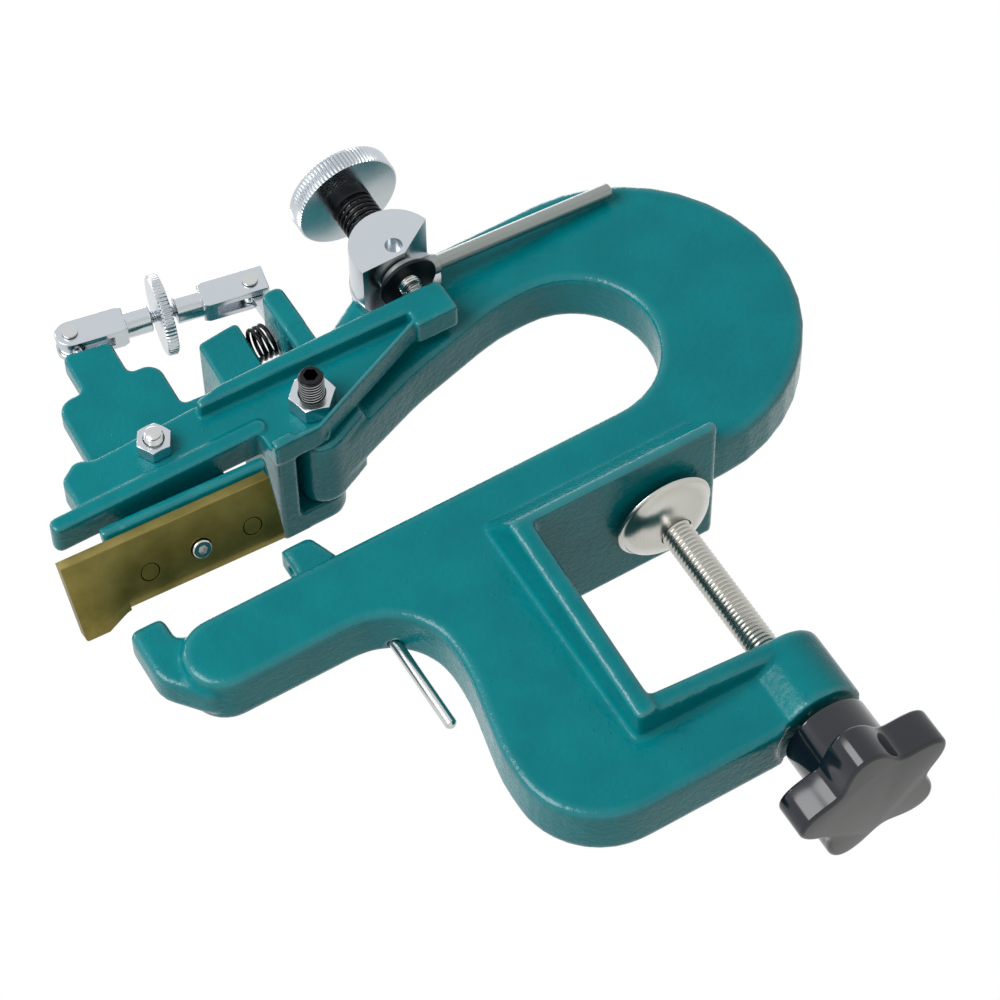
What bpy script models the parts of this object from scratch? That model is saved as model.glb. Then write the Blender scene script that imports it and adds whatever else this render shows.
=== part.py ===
"""Leather skiving machine: a cast frame that clamps under a bench, with a rocker
that carries a razor blade, a height adjuster and a tilt link.
X runs from the blade towards the bow, Z is up, and Y points away from the front.
The origin lies on the clamp screw's axis, under the upper clamp jaw."""

import math

import bmesh
import bpy
from mathutils import Matrix, Vector

for old in list(bpy.data.objects):
    bpy.data.objects.remove(old, do_unlink=True)

# units and clearances
MM = 0.001
gap = 0.3 * MM
overrun = 1.0 * MM
shy = 0.08 * MM
arc_step = math.radians(11)
round_steps = 2
fine_edge = 1.2 * MM
turned_steps = 40
small_steps = 24
hex_steps = 6

# frame casting
web_thickness = 20.0 * MM
cast_round = 1.8 * MM
arm_top = 31.0 * MM
arm_bottom = 6.5 * MM
arm_front_x = -150.8 * MM
arm_front_round = 12.3 * MM
arm_foot_round = 12.0 * MM
lug_foot_round = 8.0 * MM
bow_upper_radius = 55.4 * MM
bow_lower_radius = 52.0 * MM
bow_inner_radius = 26.65 * MM
bow_end_x = 78.7 * MM
bow_inner_x = 5.25 * MM
bow_top = 112.0 * MM
upper_arm_share = (0.1382, 0.5530, 0.8525, 0.9872)
upper_drop_share = (0.0, 0.163, 0.336, 0.418)
upper_soft_round = 60.0 * MM
back_top_x = -80.8 * MM
back_bottom_x = -87.2 * MM
back_top_round = 21.0 * MM
back_bottom_round = 27.0 * MM
back_soft_round = 55.0 * MM
back_bend_share = ((0.0, 0.27), (0.94, 0.58))
clamp_bottom = -89.6 * MM

# hook plate and roller lug at the front of the lower arm
hook_thickness = 12.0 * MM
hook_length = 11.7 * MM
hook_rise = 9.9 * MM
hook_x_share = (0.0, 0.97, 1.0, 0.08)
hook_step_x = -147.1 * MM
hook_belly_z = 21.5 * MM
hook_foot_z = 8.4 * MM
hook_toe_x = -140.0 * MM
hook_corner_round = 2.2 * MM
hook_belly_round = 10.0 * MM
hook_foot_round = 6.0 * MM
lug_thickness = 10.0 * MM
lug_front_x = -105.8 * MM
lug_width = 9.8 * MM
lug_slope = 6.2 * MM
lug_rise = 12.4 * MM
lug_round = 2.4 * MM
axle_bore = 4.2 * MM
axle_depth = 7.5 * MM
axle_height = 37.2 * MM

# clamp jaws
jaw_width = 56.6 * MM
jaw_wall_x = -44.2 * MM
jaw_low_width = 42.4 * MM
jaw_wall_thickness = 7.1 * MM
jaw_end_x = 20.5 * MM
jaw_opening = 63.0 * MM
jaw_lip = 2.6 * MM
jaw_ramp = 15.0 * MM
jaw_floor_thickness = 6.6 * MM
jaw_edge_round = 1.0 * MM
boss_radius = 14.6 * MM
boss_bottom = -87.6 * MM

# clamp screw, pad and star knob; the pad stands open below the jaw at rest
clamp_open = 2.3 * MM
clamp_screw_diameter = 10.0 * MM
pad_radius = 16.3 * MM
pad_rim = 1.5 * MM
pad_dome = 6.2 * MM
pad_neck_radius = 6.7 * MM
pad_cup_roof = 2.6 * MM
pad_dome_share = ((1.0, 0.0), (0.93, 0.06), (0.88, 0.3), (0.77, 0.58), (0.6, 0.84))
star_hub_radius = 13.6 * MM
star_hub_length = 14.8 * MM
star_radius = 22.4 * MM
star_wave = 3.8 * MM
star_lobes = 5
star_thickness = 12.6 * MM
star_round = 1.6 * MM
star_turn = math.radians(-29)
star_screw_depth = 14.0 * MM

# pin under the lower arm
pin_diameter = 3.8 * MM
pin_x = -89.8 * MM
pin_y = 6.6 * MM
pin_bottom = -30.0 * MM
pin_top = 14.0 * MM

# pivot of the rocker on the upper arm
pivot_x = -76.0 * MM
pivot_z = 75.0 * MM
pivot_lug_near = 13.8 * MM
pivot_lug_far = 15.8 * MM
pivot_lug_reach = 8.5 * MM
pivot_lug_drop = 12.0 * MM
pivot_chin_round = 7.0 * MM
pivot_lug_back = 14.0 * MM
pivot_lug_heel = 6.2 * MM
pivot_lug_top = 12.5 * MM
pivot_bore = 5.8 * MM
yoke_clearance = 0.5 * MM
far_clearance = 1.6 * MM
cheek_thickness = 10.5 * MM
far_cheek_thickness = 9.4 * MM
far_cheek_round = 8.0 * MM
set_screw_diameter = 8.0 * MM
set_screw_nose = 5.0 * MM
set_screw_nose_depth = 6.0 * MM
set_screw_out = 10.0 * MM
set_screw_socket = 4.0 * MM
set_screw_socket_depth = 4.0 * MM
pivot_nut_flats = 12.8 * MM
pivot_nut_turn = math.radians(-14.7)
pivot_nut_height = 6.5 * MM

# trunnion ear on the upper arm
trunnion_x = -29.0 * MM
trunnion_z = 107.0 * MM
ear_radius = 13.8 * MM
ear_back = 13.0 * MM
journal_diameter = 12.0 * MM

# rocker casting
rocker_floor = 4.7 * MM
rocker_round = 0.7 * MM
front_plate_back = -8.0 * MM
rib_top = 93.0 * MM
rib_height = 4.7 * MM
rib_front_x = -107.0 * MM
rib_ramp = 8.5 * MM
rib_rear_x = -24.5 * MM
rib_rear_round = 2.2 * MM
rib_round_drop = 1.9 * MM
yoke_bottom = 63.5 * MM
yoke_top_share = 0.83
bridge_thickness = 6.9 * MM
bridge_gap = 3.5 * MM
far_cheek_length = 25.4 * MM
brace_thickness = 1.6 * MM
brace_root = 1.9 * MM
brace_start_x = -79.3 * MM
brace_end_x = -33.5 * MM
brace_end_z = 83.2 * MM
lug_bottom_z = 80.5 * MM
rear_lug_length = 14.5 * MM
screw_clearance = 0.8 * MM
front_plate_top = 93.4 * MM
front_plate_fall = 1.4 * MM
front_plate_nose_x = -153.4 * MM
front_nose_round = 6.5 * MM
front_neck_x = -141.5 * MM
front_lobe_rise = 1.2 * MM
beam_proud = 1.0 * MM
beam_top = 79.2 * MM
beam_height = 5.4 * MM
beam_nose_x = -164.0 * MM
beam_end_x = -91.5 * MM
beam_round = 2.4 * MM
ear_x = -66.0 * MM
ear_width = 7.3 * MM
ear_top = 119.8 * MM
ear_step_z = 103.6 * MM
ear_far_y = 2.0 * MM
ear_round = 2.6 * MM

# carrier: all its sizes run from the stud, before the rest tilt
stud_x = -124.0 * MM
stud_z = 86.0 * MM
rest_tilt = math.radians(2.6)
carrier_thickness = 7.6 * MM
carrier_gap = 0.4 * MM
carrier_half_width = 17.1 * MM
carrier_shoulder = 36.9 * MM
shoulder_round = 5.6 * MM
neck_half_width = 7.8 * MM
neck_round = 2.2 * MM
tab_top = 52.4 * MM
tab_slope = 1.9 * MM
tab_round = 2.2 * MM
upright_x = 30.8 * MM
upright_width = 14.4 * MM
upright_top = 38.2 * MM
upright_fall = 2.0 * MM
upright_depth = 28.6 * MM
upright_round = 1.7 * MM
upright_foot = 18.6 * MM
arm_foot = 11.6 * MM
stud_diameter = 6.0 * MM
stud_head_radius = 5.0 * MM
stud_head_height = 3.4 * MM
stud_out = 8.2 * MM
stud_nut_flats = 10.0 * MM
stud_nut_height = 5.0 * MM

# blade head, in a plane that falls away from the front
head_slope = math.radians(23.2)
head_y = -20.4 * MM
head_drop = 26.7 * MM
slab_thickness = 4.5 * MM
slab_length = 54.0 * MM
slab_x = -151.2 * MM
slab_start = -1.6 * MM
slab_width = 23.6 * MM
slab_round = 0.8 * MM
brass_thickness = 4.5 * MM
brass_left_x = -167.4 * MM
brass_right_x = -99.2 * MM
brass_width = 23.6 * MM
brass_foot = 4.0 * MM
brass_foot_x = -158.8 * MM
brass_run_x = -151.5 * MM
brass_run_round = 6.0 * MM
brass_corner_round = 1.0 * MM
brass_edge = 1.2 * MM
brass_bevel = 3.4 * MM
brass_bevel_depth = 1.5 * MM
brass_bevel_x = -150.6 * MM
blade_thickness = 0.5 * MM
blade_length = 44.0 * MM
blade_width = 22.0 * MM
blade_out = 0.6 * MM
blade_x = -125.0 * MM
blade_slot_share = 0.27
head_screw_x = -125.0 * MM
head_screw_diameter = 4.0 * MM
head_screw_cap = 6.2 * MM
head_screw_cap_height = 3.6 * MM
head_screw_out = 1.2 * MM
head_screw_along = 13.4 * MM
dowel_diameter = 5.6 * MM
dowel_inset = 5.1 * MM
dowel_along = 13.8 * MM
dowel_into_slab = 2.4 * MM

# tilt link between the carrier's tab and the rocker's ear
link_y = -5.2 * MM
left_pin_x = -123.6 * MM
left_pin_z = 143.6 * MM
right_pin_x = -66.6 * MM
right_pin_z = 132.3 * MM
fork_height = 9.6 * MM
fork_depth = 8.6 * MM
fork_slot = 4.2 * MM
tongue_thickness = 3.6 * MM
fork_pin_diameter = 3.0 * MM
fork_pin_head = 5.0 * MM
fork_pin_head_height = 0.7 * MM
collar_diameter = 8.6 * MM
left_body = 15.6 * MM
left_taper = 1.8 * MM
left_collar_end = 25.4 * MM
left_slot_end = 12.8 * MM
right_body = 14.6 * MM
right_taper = 1.8 * MM
right_collar_end = 24.6 * MM
right_slot_end = 12.0 * MM
right_square_end = 5.0 * MM
link_stud_diameter = 4.0 * MM
left_stud_depth = 8.0 * MM
right_stud_depth = 8.0 * MM
wheel_place = 29.3 * MM
wheel_diameter = 26.0 * MM
wheel_thickness = 3.6 * MM
wheel_chamfer = 0.7 * MM
eye_radius = 4.2 * MM
eye_stem_diameter = 3.6 * MM
left_eye_depth = 9.0 * MM
right_eye_depth = 9.0 * MM

# backlash spring between the carrier's upright and the rocker's ear
lash_wire = 1.3 * MM
lash_mean_radius = 5.2 * MM
lash_y = -4.6 * MM
lash_z = 113.2 * MM
lash_turns = 3.3

# trunnion block with the adjusting screw
block_radius = 14.0 * MM
block_front = -30.2 * MM
flange_radius = 14.3 * MM
flange_front = -12.8 * MM
block_flat = 4.3 * MM
relief_start = 1.5 * MM
relief_run = 13.3 * MM
relief_rise = 8.7 * MM
centre_hole = 5.5 * MM
centre_hole_depth = 5.0 * MM
spring_seat_radius = 7.3 * MM
spring_seat_drop = 1.5 * MM
washer_radius = 9.5 * MM
washer_thickness = 1.6 * MM
retainer_diameter = 5.0 * MM
retainer_head = 9.0 * MM
retainer_head_height = 3.0 * MM
retainer_depth = 11.0 * MM
adjust_diameter = 7.0 * MM
adjust_set_in = 6.2 * MM
adjust_nose = 5.0 * MM
adjust_nose_top = 95.7 * MM
adjust_bottom = 79.0 * MM
adjust_into_knob = 4.5 * MM
knob_diameter = 35.0 * MM
knob_thickness = 6.8 * MM
knob_bottom = 135.4 * MM
knob_chamfer = 0.5 * MM
hub_radius = 6.9 * MM
hub_length = 2.6 * MM
lift_wire = 1.3 * MM
lift_mean_radius = 6.2 * MM
lift_turns = 6.2
ring_radius = 9.8 * MM
ring_thickness = 5.2 * MM
ferrule_diameter = 6.4 * MM
ferrule_start = 7.0 * MM
ferrule_length = 5.0 * MM
ferrule_lift = 1.0 * MM
rod_diameter = 5.0 * MM
rod_length = 62.0 * MM
rod_chamfer = 0.6 * MM
rod_turn = math.radians(5.0)

# finishes: colour, roughness, metallic
TEAL = (0.0, 0.22, 0.235)
STEEL = (0.62, 0.65, 0.67)
DARK_STEEL = (0.025, 0.026, 0.028)
BRASS = (0.42, 0.31, 0.09)
NICKEL = (0.58, 0.56, 0.52)
BLACK = (0.006, 0.006, 0.007)


# helpers
def finish(name, colour, roughness, metallic):
    """One Principled material for one object."""
    material = bpy.data.materials.new(name + "_finish")
    material.use_nodes = True
    shader = material.node_tree.nodes["Principled BSDF"]
    shader.inputs["Base Color"].default_value = (*colour, 1.0)
    shader.inputs["Roughness"].default_value = roughness
    shader.inputs["Metallic"].default_value = metallic
    return material


def solid(name, vertices, faces):
    """An object made of points and faces, its faces pointing out."""
    mesh = bpy.data.meshes.new(name)
    built = bmesh.new()
    corners = [built.verts.new(point) for point in vertices]
    for face in faces:
        built.faces.new([corners[index] for index in face])
    bmesh.ops.recalc_face_normals(built, faces=built.faces)
    built.to_mesh(mesh)
    built.free()
    made = bpy.data.objects.new(name, mesh)
    bpy.context.scene.collection.objects.link(made)
    return made


def rounded(corners):
    """Points of an outline whose corners (u, v, radius) are rounded by arcs."""
    points = []
    count = len(corners)
    for index, (u, v, radius) in enumerate(corners):
        here = Vector((u, v))
        before = Vector(corners[index - 1][:2]) - here
        after = Vector(corners[(index + 1) % count][:2]) - here
        before.normalize()
        after.normalize()
        opening = before.angle(after)
        if radius == 0 or abs(opening - math.pi) < math.radians(1):
            points.append((u, v))
            continue
        reach = radius / math.tan(opening / 2)
        middle = here + (before + after).normalized() * (radius / math.sin(opening / 2))
        start = here + before * reach - middle
        turn = math.pi - opening
        side = 1 if before.cross(after) < 0 else -1
        steps = max(1, math.ceil(turn / arc_step))
        for step in range(steps + 1):
            angle = side * turn * step / steps
            turned = Matrix.Rotation(angle, 2) @ start
            points.append(tuple(middle + turned))
    return points


def inset(points, distance):
    """The same outline, moved inwards."""
    count = len(points)
    moved = []
    for index in range(count):
        before = Vector(points[index]) - Vector(points[index - 1])
        after = Vector(points[(index + 1) % count]) - Vector(points[index])
        before.normalize()
        after.normalize()
        first = Vector((-before.y, before.x))
        second = Vector((-after.y, after.x))
        step = (first + second) * (distance / (1 + first.dot(second)))
        moved.append((points[index][0] + step.x, points[index][1] + step.y))
    return moved


def anticlockwise(points):
    """The outline in anticlockwise order."""
    area = 0
    for index in range(len(points)):
        u, v = points[index - 1]
        x, y = points[index]
        area += u * y - x * v
    return points if area > 0 else points[::-1]


def plate(name, points, low, high, edge=0, along="Y"):
    """A plate with an outline, between two heights, its edges rounded."""
    points = anticlockwise(points)
    rings = []
    steps = 0 if edge == 0 else 1 if edge < fine_edge else round_steps
    for step in range(steps + 1):
        angle = math.pi / 2 * step / max(steps, 1)
        inward = edge * (1 - math.sin(angle)) if edge > 0 else 0
        height = edge * (1 - math.cos(angle)) if edge > 0 else 0
        rings.append((inward, height))
    levels = [(inward, low + height) for inward, height in rings]
    levels += [(inward, high - height) for inward, height in reversed(rings)]
    vertices = []
    for inward, height in levels:
        for u, v in inset(points, inward):
            if along == "Y":
                vertices.append((u, height, v))
            elif along == "Z":
                vertices.append((u, v, height))
            else:
                vertices.append((height, u, v))
    count = len(points)
    faces = [list(range(count))]
    for level in range(len(levels) - 1):
        for index in range(count):
            other = (index + 1) % count
            base = level * count
            faces.append([base + index, base + other, base + count + other, base + count + index])
    last = (len(levels) - 1) * count
    faces.append(list(range(last, last + count)))
    return solid(name, vertices, faces)


def turned(name, profile, steps=turned_steps, placed=None):
    """A body of revolution about Z, from (radius, height) points."""
    vertices = []
    rings = []
    for radius, height in profile:
        if radius == 0:
            rings.append([len(vertices)])
            vertices.append((0, 0, height))
            continue
        ring = []
        for step in range(steps):
            angle = 2 * math.pi * step / steps
            ring.append(len(vertices))
            vertices.append((radius * math.cos(angle), radius * math.sin(angle), height))
        rings.append(ring)
    faces = []
    for index in range(len(rings)):
        lower = rings[index]
        upper = rings[(index + 1) % len(rings)]
        if len(lower) == 1 and len(upper) == 1:
            continue
        for step in range(steps):
            after = (step + 1) % steps
            if len(lower) == 1:
                faces.append([lower[0], upper[after], upper[step]])
            elif len(upper) == 1:
                faces.append([lower[step], lower[after], upper[0]])
            else:
                faces.append([lower[step], lower[after], upper[after], upper[step]])
    made = solid(name, vertices, faces)
    if placed is not None:
        made.data.transform(placed)
        made.data.update()
    return made


def rod(name, radius, low, high, placed=None, chamfer=0, steps=small_steps):
    """A round bar about Z, with chamfered ends."""
    profile = [(0, low), (radius - chamfer, low)]
    if chamfer > 0:
        profile += [(radius, low + chamfer), (radius, high - chamfer)]
    profile += [(radius - chamfer, high), (0, high)]
    return turned(name, profile, steps, placed)


def along_y(x, z):
    """Places a body made about Z on an axis that runs along Y."""
    return Matrix.Translation((x, 0, z)) @ Matrix.Rotation(-math.pi / 2, 4, "X")


def at(x, y, z=0):
    """Places a body made about Z at a point."""
    return Matrix.Translation((x, y, z))


def hexagon(corner):
    """A hexagon's corners, the first on the first axis."""
    angles = [math.tau * step / hex_steps for step in range(hex_steps)]
    return [(corner * math.cos(angle), corner * math.sin(angle)) for angle in angles]


def nut(name, flats, height, bore, low, placed):
    """A hexagon nut with chamfered corners."""
    corner = flats / math.sqrt(3)
    body = plate(name, hexagon(corner), low, low + height, 0, "Z")
    drop = (corner - flats / 2) / math.sqrt(3)
    trim = turned(name + "_trim", [(0, low), (flats / 2, low), (corner, low + drop),
                                   (corner, low + height - drop), (flats / 2, low + height),
                                   (0, low + height)], small_steps)
    keep(body, trim)
    hole = rod(name + "_bore", bore, low - overrun, low + height + overrun)
    cut(body, hole)
    body.data.transform(placed)
    return body


def apply_boolean(target, other, operation):
    """Joins, cuts or keeps, and leaves a plain mesh on the target."""
    step = target.modifiers.new(operation, "BOOLEAN")
    step.operation = operation
    step.object = other
    step.solver = "EXACT"
    bpy.context.view_layer.update()
    seen = target.evaluated_get(bpy.context.evaluated_depsgraph_get())
    shaped = bpy.data.meshes.new_from_object(seen)
    target.modifiers.clear()
    target.data = shaped
    bpy.data.objects.remove(other, do_unlink=True)


def join(target, *others):
    for other in others:
        apply_boolean(target, other, "UNION")


def cut(target, *others):
    for other in others:
        apply_boolean(target, other, "DIFFERENCE")


def keep(target, other):
    apply_boolean(target, other, "INTERSECT")


def dress(made, colour, roughness, metallic, carrier=None):
    """Gives a piece its finish and hangs it on its joint's empty."""
    made.data.materials.clear()
    made.data.materials.append(finish(made.name, colour, roughness, metallic))
    made.data.shade_smooth()
    made.data.set_sharp_from_angle(angle=math.radians(35))
    if carrier is not None:
        made.parent = carrier
        made.matrix_parent_inverse = carrier.matrix_world.inverted()
    return made


def joint(name, x, y, z, holder=None):
    """An empty on a joint's axis."""
    marker = bpy.data.objects.new(name, None)
    bpy.context.scene.collection.objects.link(marker)
    marker.location = (x, y, z)
    bpy.context.view_layer.update()
    if holder is not None:
        marker.parent = holder
        marker.matrix_parent_inverse = holder.matrix_world.inverted()
    bpy.context.view_layer.update()
    return marker


def coil(name, wire, mean_radius, low, high, turns, placed):
    """A helical spring of one round wire, with short straight ends."""
    per_turn = 9
    bottom = low + wire / 2
    top = high - wire / 2
    count = int(round(turns * per_turn))
    points = []
    for step in range(count + 1):
        angle = math.tau * step / per_turn
        height = bottom + (top - bottom) * step / count
        points.append(Vector((mean_radius * math.cos(angle), mean_radius * math.sin(angle), height)))
    first = (points[0] - points[1]).normalized()
    final = (points[-1] - points[-2]).normalized()
    first.z = 0
    final.z = 0
    points.insert(0, points[0] + first * wire)
    points.append(points[-1] + final * wire)
    pitch = (top - bottom) / count * per_turn
    print(name, "least gap to itself, mm:", round((pitch - wire) / MM, 3))
    curve = bpy.data.curves.new(name, "CURVE")
    curve.dimensions = "3D"
    curve.bevel_depth = wire / 2
    curve.bevel_resolution = 1
    curve.use_fill_caps = True
    spline = curve.splines.new("POLY")
    spline.points.add(len(points) - 1)
    for place, point in zip(spline.points, points):
        place.co = (*point, 1.0)
    made = bpy.data.objects.new(name, curve)
    bpy.context.scene.collection.objects.link(made)
    bpy.context.view_layer.update()
    seen = made.evaluated_get(bpy.context.evaluated_depsgraph_get())
    shaped = bpy.data.meshes.new_from_object(seen)
    bpy.data.objects.remove(made, do_unlink=True)
    built = bmesh.new()
    built.from_mesh(shaped)
    bmesh.ops.remove_doubles(built, verts=built.verts, dist=wire / 100)
    bmesh.ops.recalc_face_normals(built, faces=built.faces)
    built.to_mesh(shaped)
    built.free()
    shaped.transform(placed)
    wound = bpy.data.objects.new(name, shaped)
    bpy.context.scene.collection.objects.link(wound)
    return wound


# places that several pieces share
half_web = web_thickness / 2
half_jaw = jaw_width / 2
yoke_inner = pivot_lug_near + yoke_clearance
yoke_outer = yoke_inner + cheek_thickness
far_inner = pivot_lug_far + far_clearance
far_outer = far_inner + far_cheek_thickness
web_near = -(yoke_inner + rocker_floor)
beam_near = web_near - beam_proud
carrier_near = front_plate_back + carrier_gap
carrier_far = carrier_near + carrier_thickness
bridge_back = pivot_x - pivot_lug_reach - bridge_gap
bridge_front = bridge_back - bridge_thickness
screw_y = -(yoke_inner + adjust_set_in)
flat_z = trunnion_z - block_flat

# joint markers
rocker_axis = joint("rocker_axis", pivot_x, 0, pivot_z)
trunnion_axis = joint("trunnion_axis", trunnion_x, 0, trunnion_z)
adjust_axis = joint("adjust_axis", trunnion_x, screw_y, trunnion_z, trunnion_axis)
lever_axis = joint("lever_axis", trunnion_x, screw_y, flat_z, trunnion_axis)
carrier_axis = joint("carrier_axis", stud_x, 0, stud_z, rocker_axis)
left_pin_axis = joint("left_pin_axis", left_pin_x, link_y, left_pin_z, carrier_axis)
right_pin_axis = joint("right_pin_axis", right_pin_x, link_y, right_pin_z, rocker_axis)
pad_axis = joint("pad_axis", 0, 0, 0)
clamp_axis = joint("clamp_axis", 0, 0, 0, pad_axis)

# frame casting
bow_bottom = bow_top - bow_upper_radius - bow_lower_radius
inner_top = arm_top + 2 * bow_inner_radius
arm_xs = [bow_inner_x - share * (bow_inner_x - pivot_x) for share in upper_arm_share]
arm_zs = [inner_top - share * 2 * bow_inner_radius for share in upper_drop_share]
lug_front = pivot_x - pivot_lug_reach
lug_chin = pivot_z - pivot_lug_drop
lug_under_x = arm_xs[3]
lug_under_z = arm_zs[3]
lug_ceiling = pivot_z + pivot_lug_top
back_bends = [(back_top_x + along * (back_bottom_x - back_top_x), down * clamp_bottom, back_soft_round)
              for along, down in back_bend_share]
buried = jaw_lip / 2
web_outline = rounded([
    (arm_front_x, arm_bottom, arm_foot_round),
    (arm_front_x, arm_top, arm_front_round),
    (bow_inner_x + bow_inner_radius, arm_top, bow_inner_radius),
    (bow_inner_x + bow_inner_radius, inner_top, bow_inner_radius),
    (arm_xs[0], arm_zs[0], upper_soft_round),
    (arm_xs[1], arm_zs[1], upper_soft_round),
    (arm_xs[2], arm_zs[2], upper_soft_round / 2),
    (lug_under_x + gap, lug_under_z + gap, lug_foot_round),
    (lug_front + gap, lug_chin + gap, pivot_chin_round),
    (lug_front + gap, lug_ceiling, back_top_round / 3),
    (pivot_x, lug_ceiling + cast_round, arm_front_round),
    (trunnion_x - ear_radius, bow_top - cast_round, arm_front_round),
    (trunnion_x, bow_top, back_top_round),
    (bow_end_x, bow_top, bow_upper_radius),
    (bow_end_x, bow_bottom, bow_lower_radius),
    (jaw_end_x - cast_round, bow_bottom, 0),
    (jaw_end_x - cast_round, buried, 0),
    (jaw_wall_x - buried, buried, 0),
    (jaw_wall_x - buried, -jaw_opening - buried, 0),
    (0, -jaw_opening - buried, 0),
    (0, clamp_bottom, 0),
    (back_bottom_x, clamp_bottom, back_bottom_round),
    back_bends[1],
    back_bends[0],
    (back_top_x, arm_bottom, back_top_round),
])
frame = plate("frame", web_outline, -half_web, half_web, cast_round)

hook_top = arm_top + hook_rise
hook_xs = [hook_step_x - share * hook_length for share in hook_x_share]
hook_outline = rounded([
    (hook_xs[0], hook_top, hook_corner_round),
    (hook_xs[1], hook_top, hook_corner_round),
    (hook_xs[2], hook_belly_z, hook_belly_round),
    (hook_xs[3], hook_foot_z, hook_foot_round),
    (hook_toe_x, arm_bottom + cast_round, 0),
    (hook_toe_x, arm_top - cast_round, 0),
    (hook_xs[0], arm_top + cast_round, 0),
])
hook = plate("hook", hook_outline, -hook_thickness / 2, hook_thickness / 2, cast_round)
lug_top = arm_top + lug_rise
lug_outline = rounded([
    (lug_front_x, arm_top - cast_round * 2, 0),
    (lug_front_x, lug_top, 0),
    (lug_front_x + lug_width, lug_top, lug_round),
    (lug_front_x + lug_width + lug_slope, arm_top - cast_round * 2, 0),
])
roller_lug = plate("roller_lug", lug_outline, -lug_thickness / 2, lug_thickness / 2, jaw_edge_round)
join(frame, hook, roller_lug)

# upper jaw with its ramps, wall and lower jaw
upper_jaw_outline = [
    (-half_jaw, 0), (half_jaw, 0), (half_jaw, jaw_lip), (half_web - cast_round, jaw_lip + jaw_ramp),
    (-half_web + cast_round, jaw_lip + jaw_ramp), (-half_jaw, jaw_lip),
]
wall_outer = jaw_wall_x - jaw_wall_thickness
upper_jaw = plate("upper_jaw", upper_jaw_outline, wall_outer, jaw_end_x, jaw_edge_round, "X")
half_low = jaw_low_width / 2
floor_low = -jaw_opening - jaw_floor_thickness
jaw_wall = plate("jaw_wall", [
    (-half_jaw, buried), (half_jaw, buried), (half_low, floor_low + shy), (-half_low, floor_low + shy),
], wall_outer + shy, jaw_wall_x, jaw_edge_round, "X")
jaw_floor = plate("jaw_floor", [
    (wall_outer + shy * 2, -half_low), (0, -boss_radius + shy * 5),
    (0, boss_radius - shy * 5), (wall_outer + shy * 2, half_low),
], floor_low, -jaw_opening, jaw_edge_round, "Z")
boss_top = -jaw_opening - shy
boss = turned("boss", [
    (0, clamp_bottom - cast_round), (boss_radius, clamp_bottom - cast_round),
    (boss_radius, boss_top - jaw_edge_round), (boss_radius - jaw_edge_round, boss_top), (0, boss_top),
])
join(frame, upper_jaw, jaw_wall, jaw_floor, boss)

# pivot lug and trunnion ear on the upper arm
pivot_outline = rounded([
    (lug_front, lug_chin, pivot_chin_round),
    (lug_under_x, lug_under_z, lug_foot_round),
    (pivot_x + pivot_lug_back, lug_under_z + pivot_lug_heel, 0),
    (pivot_x + pivot_lug_back, lug_ceiling - cast_round, 0),
    (lug_front, lug_ceiling - cast_round, back_top_round / 3),
])
pivot_lug = plate("pivot_lug", pivot_outline, -pivot_lug_near, pivot_lug_far, jaw_edge_round)
ear_boss = turned("ear_boss", [
    (0, -half_web + shy), (ear_radius - jaw_edge_round, -half_web + shy),
    (ear_radius, -half_web + jaw_edge_round),
    (ear_radius, ear_back - jaw_edge_round), (ear_radius - jaw_edge_round, ear_back), (0, ear_back),
], turned_steps, along_y(trunnion_x, trunnion_z))
join(frame, pivot_lug, ear_boss)

pivot_hole = rod("pivot_hole", pivot_bore / 2, -pivot_lug_near - overrun, pivot_lug_far + overrun,
                 along_y(pivot_x, pivot_z))
journal_hole = rod("journal_hole", journal_diameter / 2 + gap, -half_web - overrun, ear_back + overrun,
                   along_y(trunnion_x, trunnion_z))
hub_relief = rod("hub_relief", boss_radius + cast_round / 2, clamp_bottom - cast_round - overrun, boss_bottom)
screw_hole = rod("screw_hole", clamp_screw_diameter / 2 + gap, boss_bottom - overrun, boss_top + overrun,
                 Matrix.Rotation(arc_step / 3, 4, "Z"))
pin_hole = rod("pin_hole", pin_diameter / 2 + gap, -arm_bottom * 2, pin_top + gap, at(pin_x, pin_y))
axle_hole = rod("axle_hole", axle_bore / 2, -overrun, axle_depth,
                Matrix.Translation((lug_front_x, 0, axle_height)) @ Matrix.Rotation(math.pi / 2, 4, "Y"))
cut(frame, hub_relief, screw_hole, pin_hole, axle_hole, pivot_hole, journal_hole)
dress(frame, TEAL, 0.3, 0.0)

pin_radius = pin_diameter / 2
arm_pin = turned("underside_pin", [
    (0, pin_bottom), (pin_radius / 2, pin_bottom), (pin_radius, pin_bottom + pin_radius / 2),
    (pin_radius, pin_top), (0, pin_top),
], small_steps, at(pin_x, pin_y))
dress(arm_pin, STEEL, 0.2, 1.0)

# clamp screw, pad and star knob
screw_radius = clamp_screw_diameter / 2
pad_top = -clamp_open
pad_bottom = pad_top - pad_rim - pad_dome
pad_roof = pad_top - pad_cup_roof
pad_profile = [
    (0, pad_top), (pad_radius - pad_rim, pad_top), (pad_radius, pad_top - pad_rim / 2),
    *[(pad_radius * across, pad_top - pad_rim - pad_dome * down) for across, down in pad_dome_share],
    (pad_neck_radius, pad_bottom),
    (screw_radius + gap, pad_bottom), (screw_radius + gap, pad_roof), (0, pad_roof),
]
clamp_pad = turned("clamp_pad", pad_profile)
dress(clamp_pad, NICKEL, 0.28, 1.0, pad_axis)

hub_top = boss_bottom - clamp_open
star_top = hub_top - star_hub_length
star_bottom = star_top - star_thickness
clamp_screw = rod("clamp_screw", screw_radius, hub_top - star_screw_depth, pad_roof - gap, None,
                  jaw_edge_round)
dress(clamp_screw, NICKEL, 0.3, 1.0, clamp_axis)

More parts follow.
